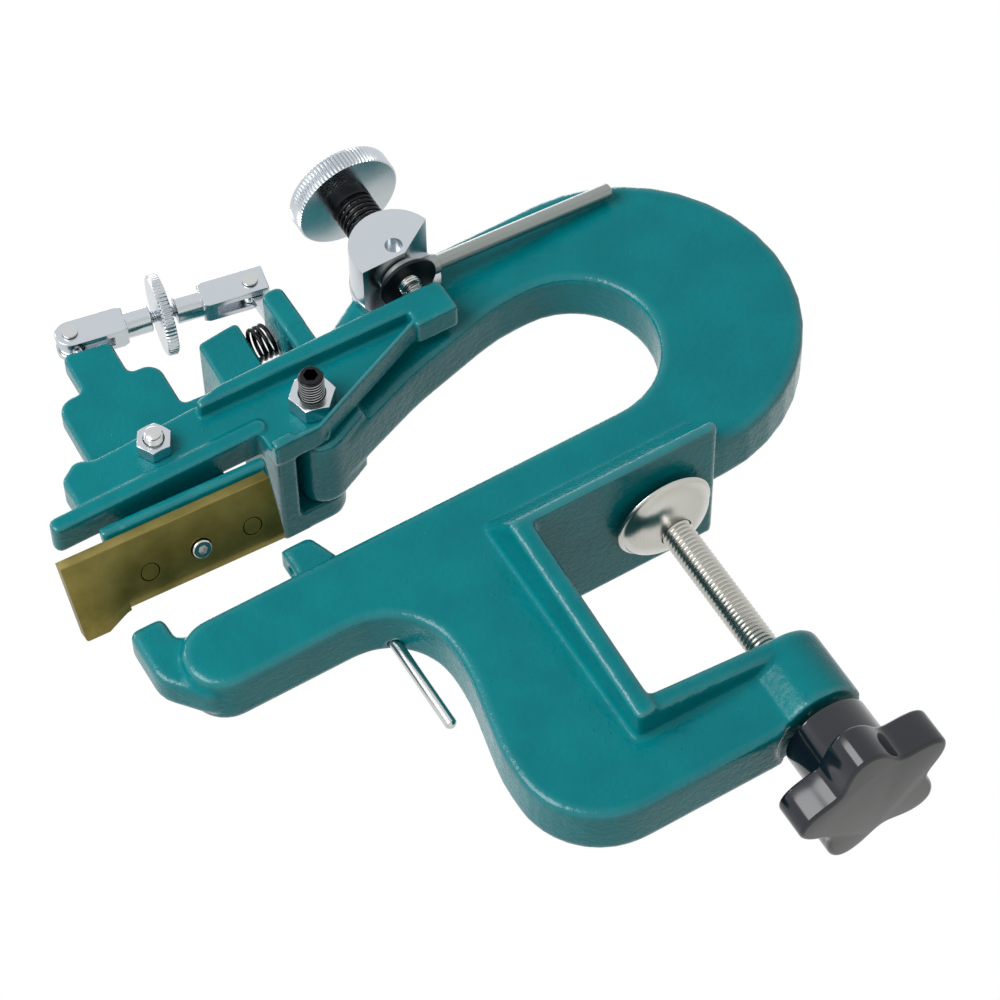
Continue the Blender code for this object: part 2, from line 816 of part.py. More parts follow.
star_points = []
star_steps = 60
for step in range(star_steps):
    angle = math.tau * step / star_steps
    reach = star_radius + star_wave * math.cos(star_lobes * (angle - star_turn))
    star_points.append((reach * math.cos(angle), reach * math.sin(angle)))
star_knob = plate("star_knob", star_points, star_bottom, star_top + gap, star_round, "Z")
star_hub = turned("star_hub", [
    (0, star_top - star_round), (star_hub_radius, star_top - star_round),
    (star_hub_radius, hub_top - jaw_edge_round),
    (star_hub_radius - jaw_edge_round, hub_top), (0, hub_top),
])
join(star_knob, star_hub)
star_bore = rod("star_bore", screw_radius + gap, hub_top - star_screw_depth - gap, hub_top + overrun)
cut(star_knob, star_bore)
dress(star_knob, BLACK, 0.12, 0.0, clamp_axis)

# rocker casting
yoke_top = yoke_bottom + yoke_top_share * (rib_top - yoke_bottom)
rib_bottom = rib_top - rib_height
floor_step_z = beam_top - beam_height / 2
floor_outline = rounded([
    (bridge_front + shy, yoke_bottom + rocker_round, 0),
    (brace_start_x, yoke_bottom + rocker_round, 0),
    (brace_end_x, brace_end_z + rocker_round, 0),
    (rib_rear_x - rib_rear_round, brace_end_z + rocker_round, 0),
    (rib_rear_x - rib_rear_round, rib_top - rocker_round, 0),
    (rib_front_x, front_plate_top - rocker_round, 0),
    (rib_front_x, floor_step_z, 0),
    (bridge_front + shy, floor_step_z, 0),
])
rocker = plate("rocker", floor_outline, web_near, -yoke_inner, 0)

rib = plate("rib", rounded([
    (rib_front_x, rib_bottom, 0),
    (rib_rear_x, rib_bottom - rib_rear_round, rib_rear_round),
    (rib_rear_x, rib_top, rib_rear_round),
    (rib_front_x + rib_ramp, rib_top, 0),
    (rib_front_x, rib_top - rib_round_drop, 0),
]), -yoke_outer, -yoke_inner - rocker_round, rocker_round)
join(rocker, rib)

brace_dx = brace_end_x - brace_start_x
brace_dz = brace_end_z - yoke_bottom
brace_run = math.hypot(brace_dx, brace_dz)
brace_up = brace_thickness * brace_run / brace_dx
brace = plate("brace", rounded([
    (bridge_front, yoke_bottom, 0),
    (brace_start_x, yoke_bottom, brace_thickness),
    (brace_end_x, brace_end_z, brace_thickness),
    (rib_rear_x, brace_end_z + rib_rear_round, 0),
    (rib_rear_x, rib_bottom + rib_rear_round, 0),
    (brace_end_x, rib_bottom + rib_rear_round, 0),
    (brace_end_x, brace_end_z + brace_up, 0),
    (brace_start_x, yoke_bottom + brace_up, brace_thickness),
    (bridge_back, yoke_bottom + brace_thickness, brace_thickness),
    (bridge_back, yoke_bottom + brace_thickness + brace_root, 0),
    (bridge_front, yoke_bottom + brace_thickness + brace_root, 0),
]), -yoke_outer + shy, -yoke_inner - shy, rocker_round)
join(rocker, brace)

yoke = plate("yoke", rounded([
    (bridge_front + shy * 2, web_near + rocker_round, 0),
    (bridge_front + shy * 2, far_outer, brace_thickness),
    (bridge_back + brace_thickness * 2, far_outer, 0),
    (bridge_back + brace_thickness * 2, far_inner, 0),
    (bridge_back, far_inner, brace_thickness),
    (bridge_back, -yoke_inner - shy * 2, brace_thickness),
    (pivot_x, -yoke_inner - shy * 2, 0),
    (pivot_x, web_near + rocker_round, 0),
]), yoke_bottom + gap, yoke_top, rocker_round, "Z")
far_cheek = plate("far_cheek", rounded([
    (bridge_front + bridge_thickness / 2, yoke_bottom + gap + shy, 0),
    (bridge_front + far_cheek_length, yoke_bottom + gap + shy, far_cheek_round),
    (bridge_front + far_cheek_length, yoke_top - shy, brace_thickness),
    (bridge_front + bridge_thickness / 2, yoke_top - shy, 0),
]), far_inner + shy, far_outer - shy, rocker_round)
join(rocker, yoke, far_cheek)

rear_lug = plate("rear_lug", rounded([
    (trunnion_x - rear_lug_length / 2, lug_bottom_z, brace_thickness / 2),
    (trunnion_x + rear_lug_length / 2, lug_bottom_z, brace_thickness / 2),
    (trunnion_x + rear_lug_length / 2, rib_top - shy, rib_rear_round),
    (trunnion_x - rear_lug_length / 2, rib_top - shy, 0),
]), -yoke_outer + shy * 2, -yoke_inner - shy * 3, rocker_round)
join(rocker, rear_lug)

nose_x = front_plate_nose_x
front_outline = rounded([
    (bridge_front + bridge_thickness / 2, yoke_bottom + beam_height * 2, 0),
    (bridge_front + bridge_thickness / 2, rib_top - rocker_round * 2, 0),
    (rib_front_x, front_plate_top, 0),
    (front_neck_x, front_plate_top - front_plate_fall, front_nose_round),
    (nose_x + front_nose_round, front_plate_top + front_lobe_rise, front_nose_round / 2),
    (nose_x, front_plate_top - front_nose_round / 2, front_nose_round / 2),
    (nose_x, beam_top - beam_height / 2, 0),
    (bridge_front, beam_top - beam_height / 2, 0),
])
front_plate = plate("front_plate", front_outline, web_near - shy, front_plate_back, rocker_round)
beam = plate("beam", rounded([
    (beam_nose_x, beam_top - beam_height, beam_round),
    (beam_end_x, beam_top - beam_height, beam_round),
    (beam_end_x, beam_top, beam_round),
    (beam_nose_x, beam_top, beam_round),
]), beam_near, front_plate_back - gap, rocker_round)
join(rocker, front_plate, beam)

ear_low = plate("ear_low", [
    (ear_x - ear_width / 2 + shy, rib_bottom), (ear_x + ear_width / 2 - shy, rib_bottom),
    (ear_x + ear_width / 2 - shy, ear_step_z + ear_round * 2),
    (ear_x - ear_width / 2 + shy, ear_step_z + ear_round * 2),
], web_near + gap, -yoke_inner - shy * 4, rocker_round)
ear = plate("ear", rounded([
    (ear_x - ear_width / 2, ear_step_z, 0),
    (ear_x + ear_width / 2, ear_step_z, 0),
    (ear_x + ear_width / 2, ear_top, ear_round),
    (ear_x - ear_width / 2, ear_top, ear_round),
]), web_near, ear_far_y, rocker_round)
join(rocker, ear_low, ear)

slack_hole = rod("slack_hole", adjust_nose / 2 + screw_clearance, lug_bottom_z - overrun, rib_top + overrun,
                 at(trunnion_x, screw_y))
screw_bores = rod("screw_bores", set_screw_diameter / 2 + gap, -yoke_outer - overrun, far_outer + overrun,
                  along_y(pivot_x, pivot_z))
stud_hole = rod("stud_hole", stud_diameter / 2 + gap, web_near - overrun, front_plate_back + overrun,
                along_y(stud_x, stud_z))
eye_r_hole = rod("eye_r_hole", eye_stem_diameter / 2 + gap, ear_top - right_eye_depth - gap,
                 ear_top + overrun, at(right_pin_x, link_y))
cut(rocker, slack_hole, screw_bores, stud_hole, eye_r_hole)
dress(rocker, TEAL, 0.3, 0.0, rocker_axis)

# pivot screws and nuts
def set_screw(name, lug_end, cheek_outer):
    """A hex socket set screw with a plain nose, its outer end at the top."""
    outer = cheek_outer + set_screw_out
    inner = lug_end - set_screw_nose_depth
    body = turned(name, [
        (0, inner), (set_screw_nose / 2, inner), (set_screw_nose / 2, lug_end + gap),
        (set_screw_diameter / 2, lug_end + gap + set_screw_nose / 4),
        (set_screw_diameter / 2, outer - jaw_edge_round / 2),
        (set_screw_diameter / 2 - jaw_edge_round / 2, outer), (0, outer),
    ], small_steps)
    socket = plate(name + "_socket", hexagon(set_screw_socket / math.sqrt(3)),
                   outer - set_screw_socket_depth, outer + overrun, 0, "Z")
    cut(body, socket)
    return body


near_side = (Matrix.Translation((pivot_x, 0, pivot_z)) @ Matrix.Rotation(math.pi / 2, 4, "X")
             @ Matrix.Rotation(pivot_nut_turn, 4, "Z"))
far_side = along_y(pivot_x, pivot_z)
for side, placed, lug_end, cheek_outer in (("near", near_side, pivot_lug_near, yoke_outer),
                                           ("far", far_side, pivot_lug_far, far_outer)):
    screw = set_screw(side + "_pivot_screw", lug_end, cheek_outer)
    screw.data.transform(placed)
    dress(screw, DARK_STEEL, 0.35, 0.8, rocker_axis)
near_base = -web_near + gap
nut_bore = set_screw_diameter / 2 + gap
near_nut = nut("near_pivot_nut", pivot_nut_flats, pivot_nut_height, nut_bore, near_base, near_side)
far_nut = nut("far_pivot_nut", pivot_nut_flats, pivot_nut_height, nut_bore, far_outer + gap, far_side)
dress(near_nut, STEEL, 0.22, 1.0, rocker_axis)
dress(far_nut, STEEL, 0.22, 1.0, rocker_axis)

# carrier
tilt = Matrix.Translation((stud_x, 0, stud_z)) @ Matrix.Rotation(rest_tilt, 4, "Y")
body_outline = rounded([
    (-carrier_half_width, -arm_foot, 0),
    (carrier_half_width, -arm_foot, 0),
    (carrier_half_width, arm_foot, neck_round),
    (upright_x, arm_foot, 0),
    (upright_x + upright_width, arm_foot, tab_round),
    (upright_x + upright_width, upright_foot, 0),
    (carrier_half_width, upright_foot, neck_round),
    (carrier_half_width, carrier_shoulder, shoulder_round),
    (neck_half_width, carrier_shoulder, neck_round),
    (neck_half_width, tab_top - tab_slope, tab_round),
    (-neck_half_width, tab_top, tab_round),
    (-neck_half_width, carrier_shoulder, neck_round),
    (-carrier_half_width, carrier_shoulder, shoulder_round),
])
carrier = plate("carrier", body_outline, carrier_near, carrier_far, rocker_round)
upright = plate("upright", rounded([
    (upright_x, arm_foot, 0),
    (upright_x + upright_width, arm_foot, tab_round),
    (upright_x + upright_width, upright_top, upright_round),
    (upright_x, upright_top - upright_fall, upright_round),
]), carrier_near, carrier_near + upright_depth, rocker_round)
join(carrier, upright)

# the head's plane: X stays, the second axis runs down the slope, the third points up and back
head = tilt @ Matrix.Translation((-stud_x, head_y, -head_drop)) @ Matrix.Rotation(-head_slope, 4, "X")
blade_low = brass_thickness + gap
slab_low = blade_low + blade_thickness + gap
slab_high = slab_low + slab_thickness
slab = plate("slab", rounded([
    (slab_x, slab_start, 0), (slab_x + slab_length, slab_start, 0),
    (slab_x + slab_length, slab_start + slab_width, 0), (slab_x, slab_start + slab_width, 0),
]), slab_low, slab_high, slab_round, "Z")
slab.data.transform(tilt.inverted() @ head)
slab_middle = (slab_low + slab_high) / 2
plate_middle = (carrier_near + carrier_far) / 2
neck_along = (plate_middle - head_y - slab_middle * math.sin(head_slope)) / math.cos(head_slope)
neck_bottom = -head_drop - neck_along * math.sin(head_slope) + slab_middle * math.cos(head_slope)
neck_block = plate("neck_block", [
    (-carrier_half_width, -arm_foot + rocker_round), (carrier_half_width, -arm_foot + rocker_round),
    (carrier_half_width, neck_bottom), (-carrier_half_width, neck_bottom),
], carrier_near, carrier_far, rocker_round)
join(carrier, slab, neck_block)
carrier.data.transform(tilt)

stud_bore = rod("stud_bore", stud_diameter / 2 + gap, carrier_near - overrun, carrier_far + overrun,
                along_y(stud_x, stud_z))
cut(carrier, stud_bore)

# bores of the head's screw and dowels, made in the head's frame
head_screw_place = head @ at(head_screw_x, head_screw_along)
dowel_x = (blade_x - blade_length / 2 + dowel_inset, blade_x + blade_length / 2 - dowel_inset)
dowel_places = [head @ at(x, dowel_along) for x in dowel_x]
tapped = rod("tapped", head_screw_diameter / 2 + gap, slab_low - overrun, slab_high - slab_round,
             head_screw_place)
cut(carrier, tapped)
for place in dowel_places:
    seat = rod("seat", dowel_diameter / 2 + gap, slab_low - overrun,
               slab_low + dowel_into_slab + gap, place)
    cut(carrier, seat)
left_eye_axis = Matrix.Translation((left_pin_x, link_y, left_pin_z)) @ Matrix.Rotation(rest_tilt, 4, "Y")
tab_drop = (left_pin_z - stud_z) - tab_top
eye_l_hole = rod("eye_l_hole", eye_stem_diameter / 2 + gap, -tab_drop - left_eye_depth, 0, left_eye_axis)
cut(carrier, eye_l_hole)
dress(carrier, TEAL, 0.3, 0.0, carrier_axis)

stud = turned("carrier_stud", [
    (0, web_near - stud_out), (stud_diameter / 2 - rocker_round, web_near - stud_out),
    (stud_diameter / 2, web_near - stud_out + rocker_round), (stud_diameter / 2, carrier_far + gap),
    (stud_head_radius, carrier_far + gap), (stud_head_radius, carrier_far + gap + stud_head_height),
    (0, carrier_far + gap + stud_head_height),
], small_steps, along_y(stud_x, stud_z))
dress(stud, STEEL, 0.2, 1.0, rocker_axis)
stud_side = Matrix.Translation((stud_x, 0, stud_z)) @ Matrix.Rotation(math.pi / 2, 4, "X")
stud_nut = nut("carrier_nut", stud_nut_flats, stud_nut_height, stud_diameter / 2 + gap, near_base, stud_side)
dress(stud_nut, STEEL, 0.2, 1.0, rocker_axis)

# blade head
brass = plate("brass_block", rounded([
    (brass_left_x, 0, 0),
    (brass_right_x, 0, 0),
    (brass_right_x, brass_width, 0),
    (brass_run_x, brass_width, brass_run_round),
    (brass_foot_x, brass_width + brass_foot, brass_corner_round),
    (brass_left_x + brass_corner_round, brass_width + brass_foot, brass_corner_round),
]), 0, brass_thickness, 0, "Z")
edge_cut = plate("edge_cut", [
    (-overrun, -overrun), (brass_edge, -overrun), (-overrun, brass_edge),
], brass_left_x - overrun, brass_right_x + overrun, 0, "X")
bevel_cut = plate("bevel_cut", [
    (brass_width - brass_bevel, 0), (brass_width - brass_bevel, -overrun),
    (brass_width + overrun, -overrun),
    (brass_width + overrun, brass_bevel_depth + overrun * brass_bevel_depth / brass_bevel),
], brass_bevel_x, brass_right_x + overrun, 0, "X")
cap_hole = rod("cap_hole", head_screw_cap / 2 + gap, -overrun, head_screw_cap_height - head_screw_out + gap,
               at(head_screw_x, head_screw_along))
shank_hole = rod("shank_hole", head_screw_diameter / 2 + gap, overrun, brass_thickness + overrun,
                 at(head_screw_x, head_screw_along))
for x in dowel_x:
    hole = rod("hole", dowel_diameter / 2 + gap, -overrun, brass_thickness + overrun, at(x, dowel_along))
    cut(brass, hole)
cut(brass, edge_cut, bevel_cut, cap_hole, shank_hole)
brass.data.transform(head)
dress(brass, BRASS, 0.3, 1.0, carrier_axis)

blade_high = brass_width + blade_out
blade = plate("razor_blade", [
    (blade_x - blade_length / 2, blade_high - blade_width),
    (blade_x + blade_length / 2, blade_high - blade_width),
    (blade_x + blade_length / 2, blade_high), (blade_x - blade_length / 2, blade_high),
], blade_low, blade_low + blade_thickness, 0, "Z")
slot_half = head_screw_diameter / 2 + gap
blade_slot = blade_length * blade_slot_share
slot = plate("slot", rounded([
    (head_screw_x - blade_slot / 2, head_screw_along - slot_half, head_screw_diameter / 3),
    (head_screw_x + blade_slot / 2, head_screw_along - slot_half, head_screw_diameter / 3),
    (head_screw_x + blade_slot / 2, head_screw_along + slot_half, head_screw_diameter / 3),
    (head_screw_x - blade_slot / 2, head_screw_along + slot_half, head_screw_diameter / 3),
]), 0, slab_low, 0, "Z")
cut(blade, slot)
for x in dowel_x:
    hole = rod("hole", dowel_diameter / 2 + gap, 0, slab_low, at(x, dowel_along))
    cut(blade, hole)
blade.data.transform(head)
dress(blade, STEEL, 0.15, 1.0, carrier_axis)

head_screw = turned("head_screw", [
    (0, -head_screw_out), (head_screw_cap / 2 - rocker_round / 2, -head_screw_out),
    (head_screw_cap / 2, -head_screw_out + rocker_round / 2),
    (head_screw_cap / 2, head_screw_cap_height - head_screw_out),
    (head_screw_diameter / 2, head_screw_cap_height - head_screw_out),
    (head_screw_diameter / 2, slab_high - slab_round - gap), (0, slab_high - slab_round - gap),
], small_steps)
key = plate("key", hexagon(head_screw_cap / 4), -head_screw_out - overrun, head_screw_out, 0, "Z")
cut(head_screw, key)
head_screw.data.transform(head_screw_place)
dress(head_screw, STEEL, 0.25, 1.0, carrier_axis)

for side, place in zip(("left", "right"), dowel_places):
    dowel = rod(side + "_dowel", dowel_diameter / 2, gap / 3, slab_low + dowel_into_slab, place)
    dress(dowel, BRASS, 0.35, 1.0, carrier_axis)

# tilt link
link_dx = right_pin_x - left_pin_x
link_dz = right_pin_z - left_pin_z
link_length = math.hypot(link_dx, link_dz)
link_fall = -math.atan2(link_dz, link_dx)
left_end = Matrix.Translation((left_pin_x, link_y, left_pin_z)) @ Matrix.Rotation(link_fall, 4, "Y")
right_end = Matrix.Translation((right_pin_x, link_y, right_pin_z)) @ Matrix.Rotation(link_fall, 4, "Y")
sideways = Matrix.Rotation(math.pi / 2, 4, "Y")


def fork(name, body_length, taper, collar_end, slot_end, round_end, bore_depth):
    """A fork about its pin, its collar along +X."""
    half = fork_height / 2
    if round_end:
        tip = [(-half, half, half - gap), (-half, -half, half - gap)]
    else:
        tip = [(-right_square_end, half, wheel_chamfer), (-right_square_end, -half, wheel_chamfer)]
    body = plate(name, rounded([
        *tip, (body_length, -half, 0), (body_length + taper, -collar_diameter / 2 + gap, 0),
        (body_length + taper, collar_diameter / 2 - gap, 0), (body_length, half, 0),
    ]), -fork_depth / 2, fork_depth / 2, wheel_chamfer / 2)
    collar = rod(name + "_collar", collar_diameter / 2, body_length - taper, collar_end, sideways, gap)
    join(body, collar)
    slot_cut = plate(name + "_slot", [
        (-half - overrun, -half - overrun), (slot_end, -half - overrun), (slot_end, half + overrun),
        (-half - overrun, half + overrun),
    ], -fork_slot / 2, fork_slot / 2)
    bore = rod(name + "_bore", link_stud_diameter / 2 + gap, collar_end - bore_depth,
               collar_end + overrun, sideways)
    pin_bore = rod(name + "_pin", fork_pin_diameter / 2 + gap, -fork_depth, fork_depth,
                   Matrix.Rotation(-math.pi / 2, 4, "X"))
    cut(body, slot_cut, bore, pin_bore)
    return body


left_bore = left_collar_end - left_slot_end + overrun
right_bore = right_collar_end - right_slot_end + overrun
left_fork = fork("left_fork", left_body, left_taper, left_collar_end, left_slot_end, True, left_bore)
left_fork.data.transform(left_end)
dress(left_fork, STEEL, 0.22, 1.0, left_pin_axis)
right_fork = fork("right_fork", right_body, right_taper, right_collar_end, right_slot_end, False,
                  right_bore)
right_fork.data.transform(right_end @ Matrix.Rotation(math.pi, 4, "Y"))
dress(right_fork, STEEL, 0.22, 1.0, right_pin_axis)


def fork_pin(name, placed):
    """A staked pin across a fork."""
    face = fork_depth / 2 + gap
    return turned(name, [
        (0, -face - fork_pin_head_height), (fork_pin_head / 2, -face - fork_pin_head_height),
        (fork_pin_head / 2, -face), (fork_pin_diameter / 2, -face), (fork_pin_diameter / 2, face),
        (fork_pin_head / 2, face), (fork_pin_head / 2, face + fork_pin_head_height),
        (0, face + fork_pin_head_height),
    ], small_steps, placed @ Matrix.Rotation(-math.pi / 2, 4, "X"))


dress(fork_pin("left_fork_pin", left_end), STEEL, 0.2, 1.0, left_pin_axis)
dress(fork_pin("right_fork_pin", right_end), STEEL, 0.2, 1.0, right_pin_axis)


def eye(name, drop, depth, placed):
    """A steel tongue round a fork's pin, with a stem that enters the casting below."""
    body = turned(name, [
        (0, -tongue_thickness / 2), (eye_radius, -tongue_thickness / 2), (eye_radius, tongue_thickness / 2),
        (0, tongue_thickness / 2),
    ], small_steps, Matrix.Rotation(-math.pi / 2, 4, "X"))
    neck = plate(name + "_neck", [
        (-eye_stem_diameter / 2, -gap), (-eye_stem_diameter / 2, -drop + gap),
        (eye_stem_diameter / 2, -drop + gap), (eye_stem_diameter / 2, -gap),
    ], -tongue_thickness / 2 + shy, tongue_thickness / 2 - shy)
    stem = rod(name + "_stem", eye_stem_diameter / 2 - gap, -drop - depth + gap * 2, -drop + overrun)
    join(body, neck, stem)
    hole = rod(name + "_hole", fork_pin_diameter / 2 + gap, -fork_depth, fork_depth,
               Matrix.Rotation(-math.pi / 2, 4, "X"))
    cut(body, hole)
    body.data.transform(placed)
    return body


left_eye = eye("left_eye", tab_drop - tab_slope / 2, left_eye_depth + tab_slope / 2, left_eye_axis)
dress(left_eye, STEEL, 0.25, 1.0, carrier_axis)
right_eye = eye("right_eye", right_pin_z - ear_top, right_eye_depth, at(right_pin_x, link_y, right_pin_z))
dress(right_eye, STEEL, 0.25, 1.0, rocker_axis)

# wheel and its studs, along the link from the left pin
wheel_low = wheel_place - wheel_thickness / 2
wheel_high = wheel_place + wheel_thickness / 2
stud_radius = link_stud_diameter / 2
wheel_radius = wheel_diameter / 2
right_stud_end = link_length - right_collar_end + right_stud_depth
tilt_wheel = turned("tilt_wheel", [
    (0, left_collar_end - left_stud_depth), (stud_radius, left_collar_end - left_stud_depth),
    (stud_radius, wheel_low),
    (wheel_radius - wheel_chamfer, wheel_low), (wheel_radius, wheel_low + wheel_chamfer),
    (wheel_radius, wheel_high - wheel_chamfer), (wheel_radius - wheel_chamfer, wheel_high),
    (stud_radius, wheel_high), (stud_radius, right_stud_end), (0, right_stud_end),
], turned_steps, left_end @ sideways)
dress(tilt_wheel, STEEL, 0.22, 1.0, right_pin_axis)

# backlash spring, along X between the upright and the ear
upright_face = (stud_x + (upright_x + upright_width) * math.cos(rest_tilt)
                + (lash_z - stud_z) * math.sin(rest_tilt))
lash_low = upright_face + gap
lash_high = ear_x - ear_width / 2 - gap
lash_place = Matrix.Translation((0, lash_y, lash_z)) @ sideways
lash = coil("backlash_spring", lash_wire, lash_mean_radius, lash_low, lash_high, lash_turns, lash_place)
dress(lash, BLACK, 0.3, 0.8, carrier_axis)

# trunnion and height adjuster
block = turned("trunnion_block", [
    (0, block_front), (block_radius, block_front), (block_radius, flange_front),
    (flange_radius, flange_front),
    (flange_radius, -half_web - gap), (journal_diameter / 2, -half_web - gap),
    (journal_diameter / 2, ear_back + gap), (0, ear_back + gap),
], turned_steps)
block.data.transform(along_y(trunnion_x, trunnion_z))
below = -block_radius * 2
far_right = block_radius * 2
relief = plate("relief", [
    (trunnion_x - far_right, flat_z), (trunnion_x + relief_start, flat_z),
    (trunnion_x + relief_start + relief_run, flat_z + relief_rise),
    (trunnion_x + relief_start + relief_run * 2, flat_z + relief_rise * 2),
    (trunnion_x + far_right * 2, trunnion_z + below), (trunnion_x - far_right, trunnion_z + below),
], block_front - overrun, flange_front)
centre = rod("centre", centre_hole / 2, block_front - overrun, block_front + centre_hole_depth,
             along_y(trunnion_x, trunnion_z))
seat_z = trunnion_z + block_radius - spring_seat_drop
spring_seat = rod("spring_seat", spring_seat_radius, seat_z, seat_z + block_radius, at(trunnion_x, screw_y))
through = rod("through", adjust_diameter / 2 + gap, trunnion_z + below, trunnion_z - below,
              at(trunnion_x, screw_y))
retainer_hole = rod("retainer_hole", retainer_diameter / 2 + gap, ear_back + gap - retainer_depth,
                    ear_back + overrun, along_y(trunnion_x, trunnion_z))
ring_well = rod("ring_well", ring_radius + gap, flat_z - ring_thickness * 2, flat_z,
                at(trunnion_x, screw_y))
cut(block, relief, centre, spring_seat, through, retainer_hole, ring_well)
dress(block, STEEL, 0.25, 1.0, trunnion_axis)

washer_low = ear_back + gap * 2
washer = turned("trunnion_washer", [
    (retainer_diameter / 2 + gap, washer_low), (washer_radius, washer_low),
    (washer_radius, washer_low + washer_thickness),
    (retainer_diameter / 2 + gap, washer_low + washer_thickness),
], small_steps, along_y(trunnion_x, trunnion_z))
dress(washer, STEEL, 0.25, 1.0, trunnion_axis)
head_low = washer_low + washer_thickness + gap
retainer = turned("trunnion_screw", [
    (0, ear_back + gap * 2 - retainer_depth), (retainer_diameter / 2, ear_back + gap * 2 - retainer_depth),
    (retainer_diameter / 2, head_low), (retainer_head / 2, head_low),
    (retainer_head / 2, head_low + retainer_head_height),
    (0, head_low + retainer_head_height),
], small_steps, along_y(trunnion_x, trunnion_z))
dress(retainer, STEEL, 0.25, 1.0, trunnion_axis)

adjust = turned("adjusting_screw", [
    (0, adjust_bottom), (adjust_nose / 2, adjust_bottom), (adjust_nose / 2, adjust_nose_top),
    (adjust_diameter / 2, adjust_nose_top), (adjust_diameter / 2, knob_bottom + adjust_into_knob - gap),
    (0, knob_bottom + adjust_into_knob - gap),
], small_steps, at(trunnion_x, screw_y))
dress(adjust, STEEL, 0.2, 1.0, adjust_axis)

knob_radius = knob_diameter / 2
knob_top = knob_bottom + knob_thickness
hub_bottom = knob_bottom - hub_length
knob = turned("height_knob", [
    (0, knob_bottom + adjust_into_knob), (adjust_diameter / 2 + gap, knob_bottom + adjust_into_knob),
    (adjust_diameter / 2 + gap, hub_bottom), (hub_radius, hub_bottom), (hub_radius, knob_bottom),
    (knob_radius - knob_chamfer, knob_bottom), (knob_radius, knob_bottom + knob_chamfer),
    (knob_radius, knob_top - knob_chamfer), (knob_radius - knob_chamfer, knob_top), (0, knob_top),
], turned_steps, at(trunnion_x, screw_y))
dress(knob, STEEL, 0.22, 1.0, adjust_axis)

lift = coil("knob_spring", lift_wire, lift_mean_radius, seat_z + gap, hub_bottom - gap, lift_turns,
            at(trunnion_x, screw_y))
dress(lift, BLACK, 0.3, 0.8, trunnion_axis)

ring_high = flat_z - gap
ring_low = ring_high - ring_thickness
rod_z = ring_high - ferrule_lift
lever_place = Matrix.Translation((trunnion_x, screw_y, 0)) @ Matrix.Rotation(rod_turn, 4, "Z")
rod_place = lever_place @ Matrix.Translation((0, 0, rod_z)) @ sideways
ring = turned("jam_ring", [
    (adjust_diameter / 2 + gap, ring_low), (ring_radius - gap, ring_low), (ring_radius, ring_low + gap),
    (ring_radius, ring_high - gap), (ring_radius - gap, ring_high), (adjust_diameter / 2 + gap, ring_high),
], turned_steps, at(trunnion_x, screw_y))
notch = rod("notch", ferrule_diameter / 2 + gap, ferrule_start - gap, ferrule_start + ring_radius * 2,
            rod_place)
cut(ring, notch)
dress(ring, DARK_STEEL, 0.4, 0.8, lever_axis)
rod_start = ferrule_start + ferrule_length
lever = turned("lock_lever", [
    (0, ferrule_start), (ferrule_diameter / 2 - gap, ferrule_start),
    (ferrule_diameter / 2, ferrule_start + gap), (ferrule_diameter / 2, rod_start - gap),
    (rod_diameter / 2, rod_start), (rod_diameter / 2, rod_start + rod_length),
    (rod_diameter / 2 - rod_chamfer, rod_start + rod_length + rod_chamfer),
    (0, rod_start + rod_length + rod_chamfer),
], small_steps, rod_place)
dress(lever, STEEL, 0.35, 1.0, lever_axis)
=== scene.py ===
"""Leather skiving machine, dressed: teal enamelled castings, zinc-plated linkage, a brass
blade block, a knurled height knob and a black star knob on the clamp screw.
Sizes are in metres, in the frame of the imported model."""

import math

import bpy
from mathutils import Matrix, Vector


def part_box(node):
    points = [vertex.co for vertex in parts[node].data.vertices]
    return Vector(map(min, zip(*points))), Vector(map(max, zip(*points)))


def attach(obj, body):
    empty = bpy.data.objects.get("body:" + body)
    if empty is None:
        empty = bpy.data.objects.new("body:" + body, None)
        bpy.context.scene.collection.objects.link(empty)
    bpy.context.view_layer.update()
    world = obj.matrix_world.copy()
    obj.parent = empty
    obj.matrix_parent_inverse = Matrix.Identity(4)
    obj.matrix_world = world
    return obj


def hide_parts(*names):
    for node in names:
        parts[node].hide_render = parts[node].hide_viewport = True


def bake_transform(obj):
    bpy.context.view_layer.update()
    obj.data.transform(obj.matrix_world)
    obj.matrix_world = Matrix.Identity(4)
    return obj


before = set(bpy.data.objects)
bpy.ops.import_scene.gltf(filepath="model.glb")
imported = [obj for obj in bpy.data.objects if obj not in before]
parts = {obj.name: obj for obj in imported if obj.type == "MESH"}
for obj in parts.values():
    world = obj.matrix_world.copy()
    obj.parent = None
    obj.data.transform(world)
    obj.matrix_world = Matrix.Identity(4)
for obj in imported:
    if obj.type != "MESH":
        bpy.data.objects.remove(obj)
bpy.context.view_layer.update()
MM = 0.001


# Camera: a long lens below the machine on the blade's side, looking up and towards the bow.
# Its three directions were fitted to the castings' straight edges and round bosses.
camera_place = (-0.37696, -1.00897, -0.55207)
right = Vector((0.85712, 0.00888, -0.51504))
down = Vector((-0.43318, 0.55348, -0.71135))
ahead = Vector((0.27875, 0.83281, 0.47825))
turned_to = Matrix((right, -down, -ahead)).transposed().to_euler()
bpy.ops.object.camera_add(location=camera_place, rotation=turned_to)
camera = bpy.context.object
camera.data.lens = 144.7
camera.data.sensor_width = 36
camera.data.clip_start = 0.05
camera.data.clip_end = 30
bpy.context.scene.camera = camera
bpy.context.scene.view_settings.view_transform = "Standard"


# Frame: one iron casting from the hook plate through the bow to the pivot lug, with the
# clamp jaws below. It is sand cast, fettled, filled and sprayed with gloss teal enamel.


def colour(code):
    """An sRGB hex colour as linear values."""
    values = []
    for place in (0, 2, 4):
        share = int(code[place:place + 2], 16) / 255
        values.append(share / 12.92 if share <= 0.04045 else ((share + 0.055) / 1.055) ** 2.4)
    return (*values, 1.0)


